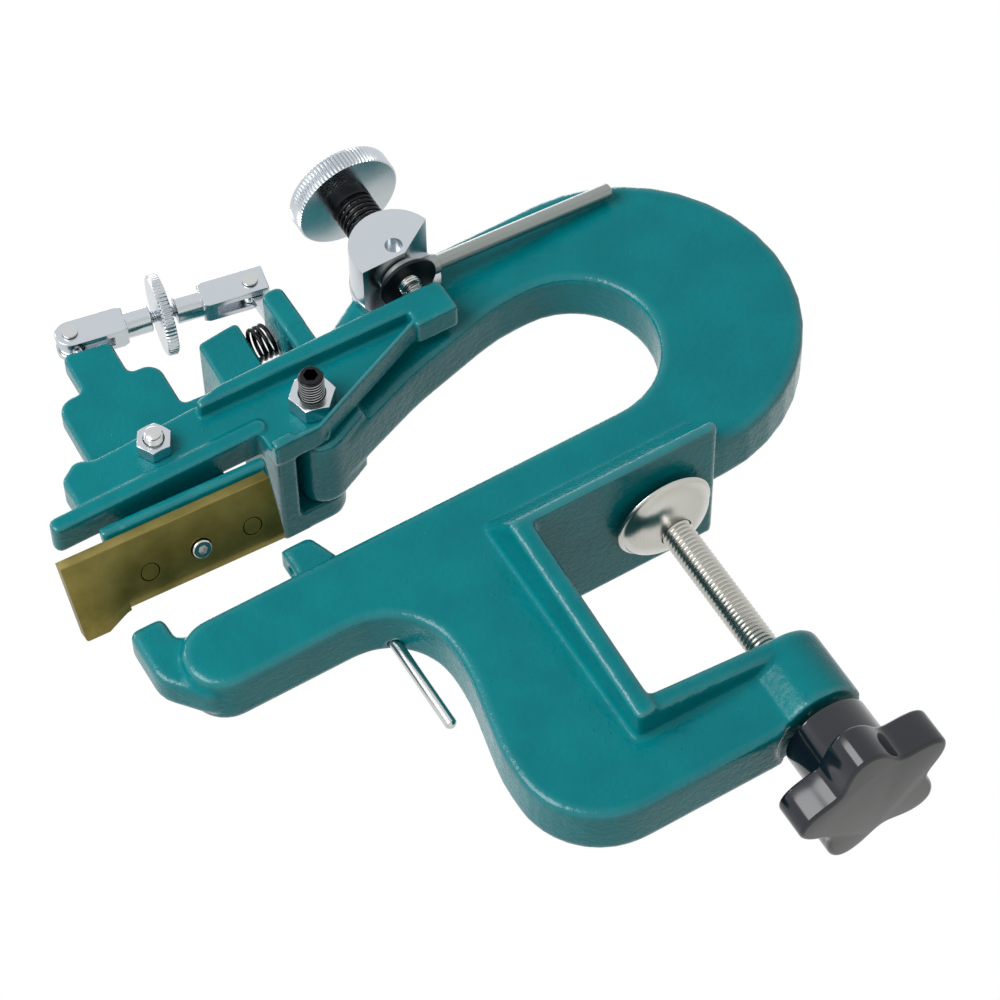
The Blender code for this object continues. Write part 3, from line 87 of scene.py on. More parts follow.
def add(tree, kind, settings=None, links=None):
    """One node with its settings and the sockets that feed it."""
    made = tree.nodes.new(kind)
    for name, value in (settings or {}).items():
        if name in made.inputs:
            made.inputs[name].default_value = value
        else:
            setattr(made, name, value)
    for name, source in (links or {}).items():
        tree.links.new(source, made.inputs[name])
    return made


def finish(name):
    """A new material, its nodes, its shader and the object coordinates in metres."""
    made = bpy.data.materials.new(name)
    made.use_nodes = True
    tree = made.node_tree
    where = add(tree, "ShaderNodeTexCoord").outputs["Object"]
    return made, tree, tree.nodes["Principled BSDF"], where


# Teal enamel: gloss paint over rough iron. Waves of the sand mould 14 mm long carry an
# orange-peel skin 2 mm across, with bits 0.8 mm wide and 4 mm apart in it. The paint lies
# thin and glossy over convex edges, which catch the light.
enamel, tree, shader, where = finish("teal_enamel_on_cast_iron")
waves = add(tree, "ShaderNodeTexNoise", {"Scale": 70, "Detail": 2}, {"Vector": where})
peel = add(tree, "ShaderNodeTexNoise", {"Scale": 520, "Detail": 3, "Roughness": 0.55}, {"Vector": where})
specks = add(tree, "ShaderNodeTexVoronoi", {"Scale": 260}, {"Vector": where})
speck_dots = add(tree, "ShaderNodeMapRange",
                 {"From Min": 0.0, "From Max": 0.10, "To Min": 1.0, "To Max": 0.0},
                 {"Value": specks.outputs["Distance"]})
tone = add(tree, "ShaderNodeValToRGB", {}, {"Fac": waves.outputs["Fac"]})
tone.color_ramp.elements[0].position = 0.35
tone.color_ramp.elements[0].color = colour("007F87")
tone.color_ramp.elements[1].position = 0.65
tone.color_ramp.elements[1].color = colour("00878E")
tree.links.new(tone.outputs["Color"], shader.inputs["Base Color"])
shade = add(tree, "ShaderNodeMapRange",
            {"From Min": 0.3, "From Max": 0.7, "To Min": 0.14, "To Max": 0.28},
            {"Value": peel.outputs["Fac"]})
tree.links.new(shade.outputs["Result"], shader.inputs["Roughness"])
slow = add(tree, "ShaderNodeBump", {"Strength": 0.35, "Distance": 0.5 * MM},
           {"Height": waves.outputs["Fac"]})
skin = add(tree, "ShaderNodeBump", {"Strength": 0.7, "Distance": 0.3 * MM},
           {"Height": peel.outputs["Fac"], "Normal": slow.outputs["Normal"]})
grit = add(tree, "ShaderNodeBump", {"Strength": 0.6, "Distance": 0.3 * MM},
           {"Height": speck_dots.outputs["Result"], "Normal": skin.outputs["Normal"]})
tree.links.new(grit.outputs["Normal"], shader.inputs["Normal"])
edges = add(tree, "ShaderNodeNewGeometry")
edge_gloss = add(tree, "ShaderNodeMapRange",
                 {"From Min": 0.505, "From Max": 0.56, "To Min": 0.15, "To Max": 1.0},
                 {"Value": edges.outputs["Pointiness"]})
tree.links.new(edge_gloss.outputs["Result"], shader.inputs["Specular IOR Level"])


def pick(piece):
    """Makes a piece the only one selected, and the active one."""
    bpy.ops.object.select_all(action="DESELECT")
    piece.select_set(True)
    bpy.context.view_layer.objects.active = piece


def open_all():
    """Opens the active piece in edit mode with all of it selected."""
    bpy.ops.object.mode_set(mode="EDIT")
    bpy.ops.mesh.select_all(action="SELECT")


def copy_of(name, node):
    """A new piece from a solid of the model, its corners merged."""
    same_corner = 0.001 * MM
    bpy.ops.object.select_all(action="DESELECT")
    bpy.ops.mesh.primitive_plane_add()
    piece = bpy.context.object
    piece.name = name
    piece.data = parts[node].data.copy()
    piece.data.name = name
    piece.data.materials.clear()
    open_all()
    bpy.ops.mesh.remove_doubles(threshold=same_corner)
    bpy.ops.object.mode_set(mode="OBJECT")
    return piece


def apply_all(piece):
    """Applies each modifier in turn."""
    pick(piece)
    for step in list(piece.modifiers):
        bpy.ops.object.modifier_apply(modifier=step.name)


def joined(first, *others):
    """One mesh of several closed shells, under the first one's name."""
    pick(first)
    for other in others:
        other.select_set(True)
    bpy.ops.object.join()
    return first


def casting(name, node, grain, softness, fillers=()):
    """A sand casting: the solid and its fillers remeshed as one skin and softened, so that
    its corners run together."""
    piece = copy_of(name, node)
    if fillers:
        piece = joined(piece, *fillers)
    skin = piece.modifiers.new("skin", "REMESH")
    skin.mode = "VOXEL"
    skin.voxel_size = grain
    soft = piece.modifiers.new("soft", "SMOOTH")
    soft.factor = 0.5
    soft.iterations = softness
    apply_all(piece)
    bpy.ops.object.shade_smooth()
    piece.data.materials.append(enamel)
    return piece


frame_casting = casting("frame_casting", "frame", grain=0.92 * MM, softness=6)
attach(frame_casting, "base")
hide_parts("frame")


# Underside pin: a short pin of bright drawn steel with a rounded end, pressed into the
# frame's lower arm.


def metal(name, code, scale, detail, glossiest, dullest, metallic=1.0):
    """A bare or plated metal of one colour, its roughness mottled by a noise."""
    made, tree, shader, where = finish(name)
    mottle = add(tree, "ShaderNodeTexNoise", {"Scale": scale, "Detail": detail}, {"Vector": where})
    shade = add(tree, "ShaderNodeMapRange", {"To Min": glossiest, "To Max": dullest},
                {"Value": mottle.outputs["Fac"]})
    tree.links.new(shade.outputs["Result"], shader.inputs["Roughness"])
    shader.inputs["Base Color"].default_value = colour(code)
    shader.inputs["Metallic"].default_value = metallic
    return made


def dress(piece, *materials, bend):
    """Gives a piece its finish, and shades its bends of fewer degrees smooth."""
    pick(piece)
    bpy.ops.object.shade_smooth_by_angle(angle=math.radians(bend))
    for material in materials:
        piece.data.materials.append(material)


def machined(name, node, edge, material, bend=30):
    """A machined piece: the solid's copy with its sharp edges broken."""
    piece = copy_of(name, node)
    open_all()
    bpy.ops.mesh.dissolve_limited(angle_limit=math.radians(0.5))
    bpy.ops.object.mode_set(mode="OBJECT")
    broken = piece.modifiers.new("broken_edges", "BEVEL")
    broken.width = edge
    broken.segments = 2
    broken.limit_method = "ANGLE"
    broken.angle_limit = math.radians(32)
    broken.use_clamp_overlap = True
    apply_all(piece)
    dress(piece, material, bend=bend)
    even = piece.modifiers.new("even", "WEIGHTED_NORMAL")
    even.keep_sharp = True
    apply_all(piece)
    return piece


# Bright steel: drawn and turned bar, lightly polished. It gives clear reflections with a
# faint grain 1 mm across, which is coarser than the real lathe marks, so that it shows.
bright = metal("bright_turned_steel", "C9CBCB", scale=900, detail=2, glossiest=0.12, dullest=0.26)

underside_pin = machined("bright_pin", "underside_pin", edge=0.2 * MM, material=bright, bend=40)
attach(underside_pin, "base")
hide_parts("underside_pin")


# Clamp screw: a 10 mm rolled thread of 1.5 mm pitch, nickel-plated, with a plain end that
# turns in the pad and a plain shank in the star knob.


def sketch(name, points):
    """A line through the points, drawn by extruding one corner after another."""
    bpy.ops.object.select_all(action="DESELECT")
    bpy.ops.mesh.primitive_plane_add(size=MM)
    piece = bpy.context.object
    piece.name = name
    piece.data.name = name
    open_all()
    bpy.ops.mesh.merge(type="CENTER")
    bpy.ops.transform.translate(value=Vector(points[0]))
    for before, after in zip(points, points[1:]):
        step = Vector(after) - Vector(before)
        bpy.ops.mesh.extrude_vertices_move(TRANSFORM_OT_translate={"value": step})
    bpy.ops.object.mode_set(mode="OBJECT")
    return piece


def close_up(piece):
    """Merges doubles, fills open ends and turns the faces outwards."""
    same_corner = 0.002 * MM
    pick(piece)
    open_all()
    bpy.ops.mesh.remove_doubles(threshold=same_corner)
    bpy.ops.mesh.fill_holes(sides=0)
    bpy.ops.mesh.normals_make_consistent(inside=False)
    bpy.ops.object.mode_set(mode="OBJECT")


def thread(name, radius, pitch, low, high, steps):
    """A rolled thread about Z: one tooth, repeated upwards, then swept once round."""
    same_corner = 0.005 * MM
    depth = pitch * 0.55
    root = radius - depth
    shoulder = radius - depth * 0.1
    tooth = sketch(name, [
        (root, 0, 0), (shoulder, 0, pitch * 0.36), (radius, 0, pitch * 0.46),
        (shoulder, 0, pitch * 0.56), (root, 0, pitch * 0.92), (root, 0, pitch),
    ])
    stack = tooth.modifiers.new("stack", "ARRAY")
    stack.count = max(1, int((high - low) / pitch) - 1)
    stack.use_relative_offset = False
    stack.use_constant_offset = True
    stack.constant_offset_displace = (0, 0, pitch)
    stack.use_merge_vertices = True
    stack.merge_threshold = same_corner
    sweep = tooth.modifiers.new("sweep", "SCREW")
    sweep.axis = "Z"
    sweep.angle = math.tau
    sweep.screw_offset = pitch
    sweep.steps = steps
    sweep.render_steps = steps
    sweep.use_merge_vertices = True
    sweep.merge_threshold = same_corner
    apply_all(tooth)
    tooth.data.transform(Matrix.Translation((0, 0, low)))
    close_up(tooth)
    return tooth


def turned(name, profile, steps=96):
    """A body turned about Z from (radius, height) points."""
    piece = sketch(name, [(radius, 0, height) for radius, height in profile])
    open_all()
    bpy.ops.mesh.spin(steps=steps, angle=math.tau, center=(0, 0, 0), axis=(0, 0, 1), dupli=False)
    bpy.ops.object.mode_set(mode="OBJECT")
    close_up(piece)
    return piece


# Nickel plate: bright nickel over rolled steel, slightly yellow. It gives a soft mirror
# with worn patches 6 mm across.
nickel = metal("nickel_plated_steel", "C3C2BD", scale=160, detail=3, glossiest=0.16, dullest=0.34)

low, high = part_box("clamp_screw")
screw_radius = (high.x - low.x) / 2
screw_pitch = 1.5 * MM
screw_core = screw_radius * 0.8
screw_tip = screw_radius * 0.7
tip_height = 0.5 * MM
plain_shank = 14 * MM
plain_end = 1.0 * MM
clamp_thread = thread("clamp_thread", screw_radius, screw_pitch,
                      low.z + plain_shank, high.z - plain_end, steps=56)
clamp_core = turned("clamp_core", [
    (0, low.z), (screw_core, low.z), (screw_core, high.z - tip_height), (screw_tip, high.z), (0, high.z),
], steps=40)
clamp_screw = joined(clamp_thread, clamp_core)
clamp_screw.name = "clamp_screw_thread"
dress(clamp_screw, nickel, bend=40)
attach(clamp_screw, "clamp")
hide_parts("clamp_screw")

# Clamp pad: a turned cup with a thin flat rim and a domed back, nickel-plated and bored
# for the screw's plain end, on which it swivels. The rim's curve is in millimetres in from
# its edge and down from its face, the dome's in shares of its radius and height.
low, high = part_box("clamp_pad")
pad_radius = (high.x - low.x) / 2
rim_height = 1.5 * MM
rim_low = high.z - rim_height
rim_curve = ((1.0, 0), (0.3, 0.3), (0, 0.8), (0.1, 1.2), (0.5, 1.5))
dome = rim_low - low.z
dome_curve = (
    (0.94, 0.04), (0.925, 0.12), (0.90, 0.24), (0.87, 0.35), (0.82, 0.48), (0.76, 0.6),
    (0.68, 0.73), (0.59, 0.85), (0.5, 0.94),
)
dome_flat = pad_radius * 0.41
screw_bore = screw_radius + 0.3 * MM
bore_end = high.z - 2.6 * MM
clamp_pad = turned("domed_pad", [
    (0, high.z),
    *[(pad_radius - inset * MM, high.z - fall * MM) for inset, fall in rim_curve],
    *[(pad_radius * share, rim_low - dome * fall) for share, fall in dome_curve],
    (dome_flat, low.z), (screw_bore, low.z), (screw_bore, bore_end), (0, bore_end),
])
dress(clamp_pad, nickel, bend=40)
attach(clamp_pad, "pad")
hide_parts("clamp_pad")


# Star knob: black phenolic, moulded round a metal insert, with five broad lobes and a
# round hub. It is fast on the clamp screw's lower end.


def flat_disc(name, corners, radius):
    """A flat round plate at the origin, one face with many corners."""
    bpy.ops.object.select_all(action="DESELECT")
    bpy.ops.mesh.primitive_circle_add(vertices=corners, radius=radius, fill_type="NGON", location=(0, 0, 0))
    piece = bpy.context.object
    piece.name = name
    piece.data.name = name
    return piece


# Phenolic: moulded in a polished tool. It gives a deep gloss with slight flow marks 17 mm long.
phenolic, tree, shader, where = finish("gloss_black_phenolic")
flow = add(tree, "ShaderNodeTexNoise", {"Scale": 60, "Detail": 2}, {"Vector": where})
ripple = add(tree, "ShaderNodeBump", {"Strength": 0.15, "Distance": 0.3 * MM},
             {"Height": flow.outputs["Fac"]})
tree.links.new(ripple.outputs["Normal"], shader.inputs["Normal"])
shader.inputs["Base Color"].default_value = colour("0E1520")
shader.inputs["Roughness"].default_value = 0.12
shader.inputs["IOR"].default_value = 1.54

low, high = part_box("star_knob")
hub_length = 14.8 * MM
star_top = high.z - hub_length
lobes = 5
lobe_reach = 22.4 * MM
lobe_wave = 3.8 * MM
lobe_turn = math.radians(-29)
star = flat_disc("star_head", corners=200, radius=lobe_reach)
for corner in star.data.vertices:
    angle = math.atan2(corner.co.y, corner.co.x)
    reach = lobe_reach + lobe_wave * math.cos(lobes * (angle - lobe_turn))
    corner.co = (reach * math.cos(angle), reach * math.sin(angle), low.z)
open_all()
bpy.ops.mesh.extrude_region_move(TRANSFORM_OT_translate={"value": (0, 0, star_top - low.z)})
bpy.ops.mesh.select_all(action="SELECT")
bpy.ops.mesh.normals_make_consistent(inside=False)
bpy.ops.object.mode_set(mode="OBJECT")
rim = star.modifiers.new("rim", "BEVEL")
rim.width = 1.4 * MM
rim.segments = 6
rim.limit_method = "ANGLE"
rim.angle_limit = math.radians(60)
apply_all(star)
hub_radius = 13.6 * MM
hub_foot = star_top - 2 * MM
fillet = 1.5 * MM
hub_round = 1 * MM
hub_bevel = 0.3 * MM
insert_low = high.z - 5 * MM
star_hub = turned("star_hub", [
    (0, hub_foot), (hub_radius + fillet, hub_foot), (hub_radius + fillet / 3, star_top + fillet / 5),
    (hub_radius, star_top + fillet), (hub_radius, high.z - hub_round),
    (hub_radius - hub_bevel, high.z - hub_bevel), (hub_radius - hub_round, high.z),
    (screw_bore, high.z), (screw_bore, insert_low), (0, insert_low),
])
star = joined(star, star_hub)
star.name = "moulded_star_knob"
dress(star, phenolic, bend=40)
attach(star, "clamp")
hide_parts("star_knob")


# Rocker: a thin iron casting on the pivot lug, with a ribbed plate at its near side and a
# beam to the front. Its rear lug has a blind hole for the adjusting screw's nose, so a
# thin floor is added to the lug before it is remeshed.
low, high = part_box("adjusting_screw")
screw_at = (low + high) / 2
lug_low = 80.5 * MM
floor_height = 1.6 * MM
floor_radius = 4.2 * MM
bpy.ops.object.select_all(action="DESELECT")
bpy.ops.mesh.primitive_cylinder_add(vertices=40, radius=floor_radius, depth=floor_height,
                                    location=(screw_at.x, screw_at.y, lug_low + floor_height / 2))
lug_floor = bpy.context.object
bpy.ops.object.transform_apply()
rocker_casting = casting("rocker_casting", "rocker", grain=0.55 * MM, softness=5, fillers=(lug_floor,))
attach(rocker_casting, "rocker_body")
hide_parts("rocker")


# Pivot screws and nuts: black M8 x 1.25 set screws with a 4 mm hexagon socket and a plain
# nose, their crests in bright steel, partly rubbed wear and partly a painted highlight. Each is
# locked by a zinc-plated nut on the rocker's cheek.


def cut_hexagon(piece, flats, low, high):
    """Cuts a six-sided hole along Z out of a closed shell."""
    bpy.ops.object.select_all(action="DESELECT")
    bpy.ops.mesh.primitive_cylinder_add(vertices=6, radius=flats / math.sqrt(3), depth=high - low,
                                        location=(0, 0, (low + high) / 2))
    hexagon = bpy.context.object
    hole = piece.modifiers.new("hole", "BOOLEAN")
    hole.operation = "DIFFERENCE"
    hole.object = hexagon
    apply_all(piece)
    bpy.data.objects.remove(hexagon)


def lay_along_y(piece, low, high, turn):
    """Lays a piece that stands on the origin along Y, to fill the box."""
    upright = Matrix.Translation((0, 0, -(high.y - low.y) / 2))
    piece.data.transform(Matrix.Translation((low + high) / 2) @ Matrix.Rotation(turn, 4, "X") @ upright)


# Black oxide: a blued finish on hardened screws. It gives a soft dark sheen with blotches
# 3 mm across.
oxide = metal("black_oxide_steel", "2C2E31", scale=300, detail=2, glossiest=0.28, dullest=0.42)

# Zinc plate: bright zinc over milled steel. It gives a cool grey mirror, clouded 8 mm
# across, with draw marks 1.4 mm apart, coarser than the real ones, so that they show.
zinc = metal("bright_zinc_plate", "C3C9CE", scale=120, detail=3, glossiest=0.14, dullest=0.3)
tree = zinc.node_tree
where = tree.nodes["Texture Coordinate"].outputs["Object"]
marks = add(tree, "ShaderNodeTexNoise", {"Scale": 700, "Detail": 2}, {"Vector": where})
fine = add(tree, "ShaderNodeBump", {"Strength": 0.12, "Distance": 0.05 * MM},
           {"Height": marks.outputs["Fac"]})
tree.links.new(fine.outputs["Normal"], tree.nodes["Principled BSDF"].inputs["Normal"])

bolt_pitch = 1.25 * MM
bolt_depth = 0.62 * MM
bolt_point = 0.9 * MM
nose_length = 6.4 * MM
nose_radius = 2.5 * MM
nose_foot = 2.3 * MM
nose_taper = 0.6 * MM
end_bevel = 0.3 * MM
thread_back = 0.2 * MM
socket_flats = 4 * MM
socket_depth = 4.5 * MM
socket_over = 1 * MM
rubbed_and_highlit_band = 0.16 * MM
for side, turn in (("near", math.pi / 2), ("far", -math.pi / 2)):
    low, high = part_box(side + "_pivot_screw")
    length = high.y - low.y
    bolt_radius = (high.x - low.x) / 2
    bolt_thread = thread(side + "_bolt_thread", bolt_radius, bolt_pitch,
                         nose_length + end_bevel, length - thread_back, steps=40)
    bolt_core = turned(side + "_bolt_core", [
        (0, 0), (nose_foot, 0), (nose_radius, end_bevel), (nose_radius, nose_length - nose_taper),
        (bolt_radius - bolt_depth, nose_length), (bolt_radius - bolt_depth, length - end_bevel),
        (bolt_radius - bolt_point, length), (0, length),
    ], steps=48)
    for shell in (bolt_thread, bolt_core):
        cut_hexagon(shell, socket_flats, length - socket_depth, length + socket_over)
    bolt = joined(bolt_thread, bolt_core)
    bolt.name = side + "_set_screw"
    # The crests' outer faces take bright steel: partly rubbed wear, partly a painted highlight along each
    # crest.
    for face in bolt.data.polygons:
        face.material_index = int(math.hypot(face.center.x, face.center.y) > bolt_radius - rubbed_and_highlit_band)
    lay_along_y(bolt, low, high, turn)
    dress(bolt, oxide, bright, bend=40)
    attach(bolt, "rocker_body")
    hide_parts(side + "_pivot_screw")
    lock_nut = machined(side + "_lock_nut", side + "_pivot_nut", edge=0.12 * MM, material=zinc)
    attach(lock_nut, "rocker_body")
    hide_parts(side + "_pivot_nut")

# Carrier stud: a bright 6 mm stud with a flat head behind the carrier and an M6 x 1 thread
# at its near end, turned in one piece.
low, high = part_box("carrier_stud")
length = high.y - low.y
stud_radius = 3.0 * MM
stud_core = 2.5 * MM
stud_point = 2.1 * MM
stud_pitch = 1.0 * MM
stud_neck = 0.4 * MM
head_radius = 5.0 * MM
head_height = 3.4 * MM
head_bevel = 0.2 * MM
thread_low = length - 8.5 * MM
thread_high = length - 0.1 * MM
stud_thread = thread("stud_thread", stud_radius, stud_pitch, thread_low, thread_high, steps=40)
stud_shank = turned("stud_core", [
    (0, 0), (head_radius - head_bevel, 0), (head_radius, head_bevel),
    (head_radius, head_height - head_bevel), (head_radius - head_bevel, head_height),
    (stud_radius, head_height), (stud_radius, thread_low), (stud_core, thread_low + stud_neck),
    (stud_core, length - end_bevel), (stud_point, length), (0, length),
], steps=48)
pivot_stud = joined(stud_thread, stud_shank)
pivot_stud.name = "pivot_stud"
lay_along_y(pivot_stud, low, high, math.pi / 2)
dress(pivot_stud, bright, bend=40)
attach(pivot_stud, "rocker_body")
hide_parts("carrier_stud")

# Carrier nut and right tongue: a zinc-plated M6 nut on the beam, and a milled steel tongue
# set into the rocker's ear for the tilt link.
for name, node in (("stud_nut", "carrier_nut"), ("right_tongue", "right_eye")):
    made = machined(name, node, edge=0.1 * MM, material=zinc)
    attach(made, "rocker_body")
    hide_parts(node)


# Carrier: a small iron casting with a tab for the tilt link, an upright for the spring and
# a sloping slab for the blade. Enamelled as the frame is.
carrier_casting = casting("carrier_casting", "carrier", grain=0.5 * MM, softness=5)
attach(carrier_casting, "blade_carrier")
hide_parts("carrier")


# Blade head: the milled brass block, its two flush dowels, the bright socket screw and the
# razor blade that they grip, with the steel tongue in the carrier's tab.

# Brass: brushed along its length and tarnished to olive gold in patches 18 mm across. The
# brush lines run along X, 0.7 mm apart with finer ones between.
brass, tree, shader, where = finish("brushed_tarnished_brass")
along = add(tree, "ShaderNodeMapping", {"Scale": (30, 1500, 1500)}, {"Vector": where})
brushed = add(tree, "ShaderNodeTexNoise", {"Scale": 1.0, "Detail": 4, "Roughness": 0.6},
              {"Vector": along.outputs["Vector"]})
tarnish = add(tree, "ShaderNodeTexNoise", {"Scale": 55, "Detail": 4, "Roughness": 0.6}, {"Vector": where})
tone = add(tree, "ShaderNodeValToRGB", {}, {"Fac": tarnish.outputs["Fac"]})
tone.color_ramp.elements[0].position = 0.35
tone.color_ramp.elements[0].color = colour("69602F")
tone.color_ramp.elements[1].position = 0.68
tone.color_ramp.elements[1].color = colour("8B7E47")
tree.links.new(tone.outputs["Color"], shader.inputs["Base Color"])
lines = add(tree, "ShaderNodeBump", {"Strength": 0.2, "Distance": 0.06 * MM},
            {"Height": brushed.outputs["Fac"]})
tree.links.new(lines.outputs["Normal"], shader.inputs["Normal"])
shade = add(tree, "ShaderNodeMapRange", {"To Min": 0.36, "To Max": 0.52}, {"Value": brushed.outputs["Fac"]})
tree.links.new(shade.outputs["Result"], shader.inputs["Roughness"])
shader.inputs["Metallic"].default_value = 1.0

for name, node, material, edge in (
        ("brass_bar", "brass_block", brass, 0.15 * MM),
        ("left_flush_dowel", "left_dowel", brass, 0.15 * MM),
        ("right_flush_dowel", "right_dowel", brass, 0.15 * MM),
        ("cap_screw", "head_screw", bright, 0.12 * MM),
        ("blade_strip", "razor_blade", bright, 0.05 * MM),
        ("left_tongue", "left_eye", zinc, 0.1 * MM)):
    made = machined(name, node, edge, material)
    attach(made, "blade_carrier")
    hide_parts(node)


# Tilt link: two milled forks with turned collars, zinc-plated, each on a bright staked pin
# through its tongue.
for side in ("left", "right"):
    fork = machined(side + "_fork_body", side + "_fork", edge=0.25 * MM, material=zinc)
    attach(fork, side + "_link")
    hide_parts(side + "_fork")
    staked = machined(side + "_staked_pin", side + "_fork_pin", edge=0.12 * MM, material=bright)
    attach(staked, side + "_link")
    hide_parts(side + "_fork_pin")


# Tilt wheel: a zinc-plated disc with straight teeth, on two 4 mm threads of opposite hand
# that screw into the forks. It is made upwards from the left pin and laid along the link.


def toothed(name, radius, teeth, depth, low, high, chamfer):
    """A disc about Z with straight teeth, its edges chamfered. Of the four corners that each
    tooth has round the rim, two stand out and two are sunk."""
    tooth_corners = 4
    piece = flat_disc(name, teeth * tooth_corners, radius)
    inner = radius - chamfer
    rims = [(inner, low), (radius, low + chamfer), (radius, high - chamfer), (inner, high)]
    open_all()
    bpy.ops.transform.translate(value=(0, 0, low))
    for (before, here), (after, there) in zip(rims, rims[1:]):
        bpy.ops.mesh.extrude_region_move(TRANSFORM_OT_translate={"value": (0, 0, there - here)})
    bpy.ops.object.mode_set(mode="OBJECT")
    for corner in piece.data.vertices:
        angle = math.atan2(corner.co.y, corner.co.x)
        step = round(angle / math.tau * teeth * tooth_corners) % tooth_corners
        level = min(rims, key=lambda rim: abs(rim[1] - corner.co.z))
        reach = level[0] if step in (0, 1) else min(level[0], radius - depth)
        corner.co.x = reach * math.cos(angle)
        corner.co.y = reach * math.sin(angle)
    close_up(piece)
    return piece


left_pin = Vector((-123.6 * MM, -5.2 * MM, 143.6 * MM))
right_pin = Vector((-66.6 * MM, -5.2 * MM, 132.3 * MM))
link_run = right_pin - left_pin
link_place = Matrix.Translation(left_pin) @ link_run.to_track_quat("Z", "Y").to_matrix().to_4x4()
wheel_radius = 13.0 * MM
wheel_middle = 29.3 * MM
wheel_thickness = 3.6 * MM
wheel_low = wheel_middle - wheel_thickness / 2
wheel_high = wheel_middle + wheel_thickness / 2
wheel_teeth = 64
tooth_depth = 0.5 * MM
wheel_chamfer = 0.6 * MM
link_radius = 2.0 * MM
link_core = 1.6 * MM
link_pitch = 0.7 * MM
link_low = 17.6 * MM
link_high = link_run.length - 16.8 * MM
core_over = 0.1 * MM
wheel_disc = toothed("wheel_disc", wheel_radius, wheel_teeth, tooth_depth,
                     wheel_low, wheel_high, wheel_chamfer)
wheel_left = thread("wheel_left_thread", link_radius, link_pitch, link_low, wheel_middle, steps=32)
wheel_right = thread("wheel_right_thread", link_radius, link_pitch, wheel_middle, link_high, steps=32)
wheel_core = turned("wheel_core", [
    (0, link_low - core_over), (link_core, link_low - core_over),
    (link_core, link_high + core_over), (0, link_high + core_over),
], steps=24)
tilt_wheel = joined(wheel_disc, wheel_left, wheel_right, wheel_core)
tilt_wheel.name = "toothed_wheel"
tilt_wheel.data.transform(link_place)
dress(tilt_wheel, zinc, bend=35)
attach(tilt_wheel, "wheel")
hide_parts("tilt_wheel")


# Backlash spring: a short coil of blackened wire between the carrier's upright and the
# rocker's ear.

# Spring wire: oil-tempered steel, blackened. It gives a dark satin line of light, with
# sooty patches 2.5 mm long.
spring_wire = metal("blackened_spring_wire", "16171A", scale=400, detail=2, glossiest=0.2, dullest=0.36,
                    metallic=0.7)
wire_across = 1.3 * MM


def spring(name, wire, radius, low, high, turns, place):
    """A coil spring about Z: a wire's circle swept along a helix through the wire's middle,
    its ends filled."""
    round_steps = 28
    steps = int(turns * round_steps)
    points = []
    for step in range(steps + 1):
        angle = math.tau * step / round_steps
        height = low + wire / 2 + (high - low - wire) * step / steps
        points.append((radius * math.cos(angle), radius * math.sin(angle), height))
    bpy.ops.object.select_all(action="DESELECT")
    bpy.ops.curve.primitive_nurbs_path_add()
    path = bpy.context.object
    path.name = name
    path.data.splines.clear()
    line = path.data.splines.new("POLY")
    line.points.add(len(points) - 1)
    for bead, point in zip(line.points, points):
        bead.co = (*point, 1)
    path.data.dimensions = "3D"
    path.data.bevel_depth = wire / 2
    path.data.bevel_resolution = 4
    path.data.use_fill_caps = True
    pick(path)
    bpy.ops.object.convert(target="MESH")
    made = bpy.context.object
    made.name = name
    close_up(made)
    made.data.transform(place)
    dress(made, spring_wire, bend=60)
    return made


low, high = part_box("backlash_spring")
lash_middle = (low + high) / 2
lash_place = Matrix.Translation((0, lash_middle.y, lash_middle.z)) @ Matrix.Rotation(math.pi / 2, 4, "Y")
backlash = spring("backlash_coil", wire_across, (high.y - low.y - wire_across) / 2, low.x, high.x,
                  turns=3.3, place=lash_place)
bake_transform(backlash)
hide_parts("backlash_spring")


# Trunnion: a zinc-plated block turned and milled from bar, journalled in the frame's ear
# and held by a washer and a screw behind.
for name, node, edge in (
        ("trunnion_bar", "trunnion_block", 0.45 * MM),
        ("flat_washer", "trunnion_washer", 0.1 * MM),
        ("retaining_screw", "trunnion_screw", 0.2 * MM)):
    made = machined(name, node, edge, zinc)
    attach(made, "trunnion")
    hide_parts(node)

# Adjusting screw: a 7 mm rolled thread of 1 mm pitch in bright steel, stepped down to a
# finer thread at its nose, which stands in the rocker's blind hole.
low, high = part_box("adjusting_screw")
on_screw = Matrix.Translation((screw_at.x, screw_at.y, 0))
adjust_radius = (high.x - low.x) / 2
adjust_core = adjust_radius * 0.85
adjust_pitch = 1.0 * MM
nose_top = 95.7 * MM
nose_end = 84.6 * MM
nose_core = 2.5 * MM
nose_point = 2.1 * MM
nose_bevel = 0.4 * MM
adjust_step = 0.3 * MM
fine_radius = 2.7 * MM
fine_pitch = 0.8 * MM
fine_shift = 0.6 * MM
adjust_thread = thread("adjust_thread", adjust_radius, adjust_pitch, nose_top, high.z, steps=48)
adjust_shank = turned("adjust_core", [
    (0, nose_end), (nose_point, nose_end), (nose_core, nose_end + nose_bevel), (nose_core, nose_top),
    (adjust_core, nose_top + adjust_step), (adjust_core, high.z), (0, high.z),
], steps=48)
nose_thread = thread("nose_thread", fine_radius, fine_pitch,
                     nose_end + fine_shift, nose_top + fine_shift, steps=40)
adjusting_screw = joined(adjust_thread, nose_thread, adjust_shank)
adjusting_screw.name = "adjusting_thread"
adjusting_screw.data.transform(on_screw)
dress(adjusting_screw, bright, bend=40)
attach(adjusting_screw, "adjuster")
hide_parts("adjusting_screw")

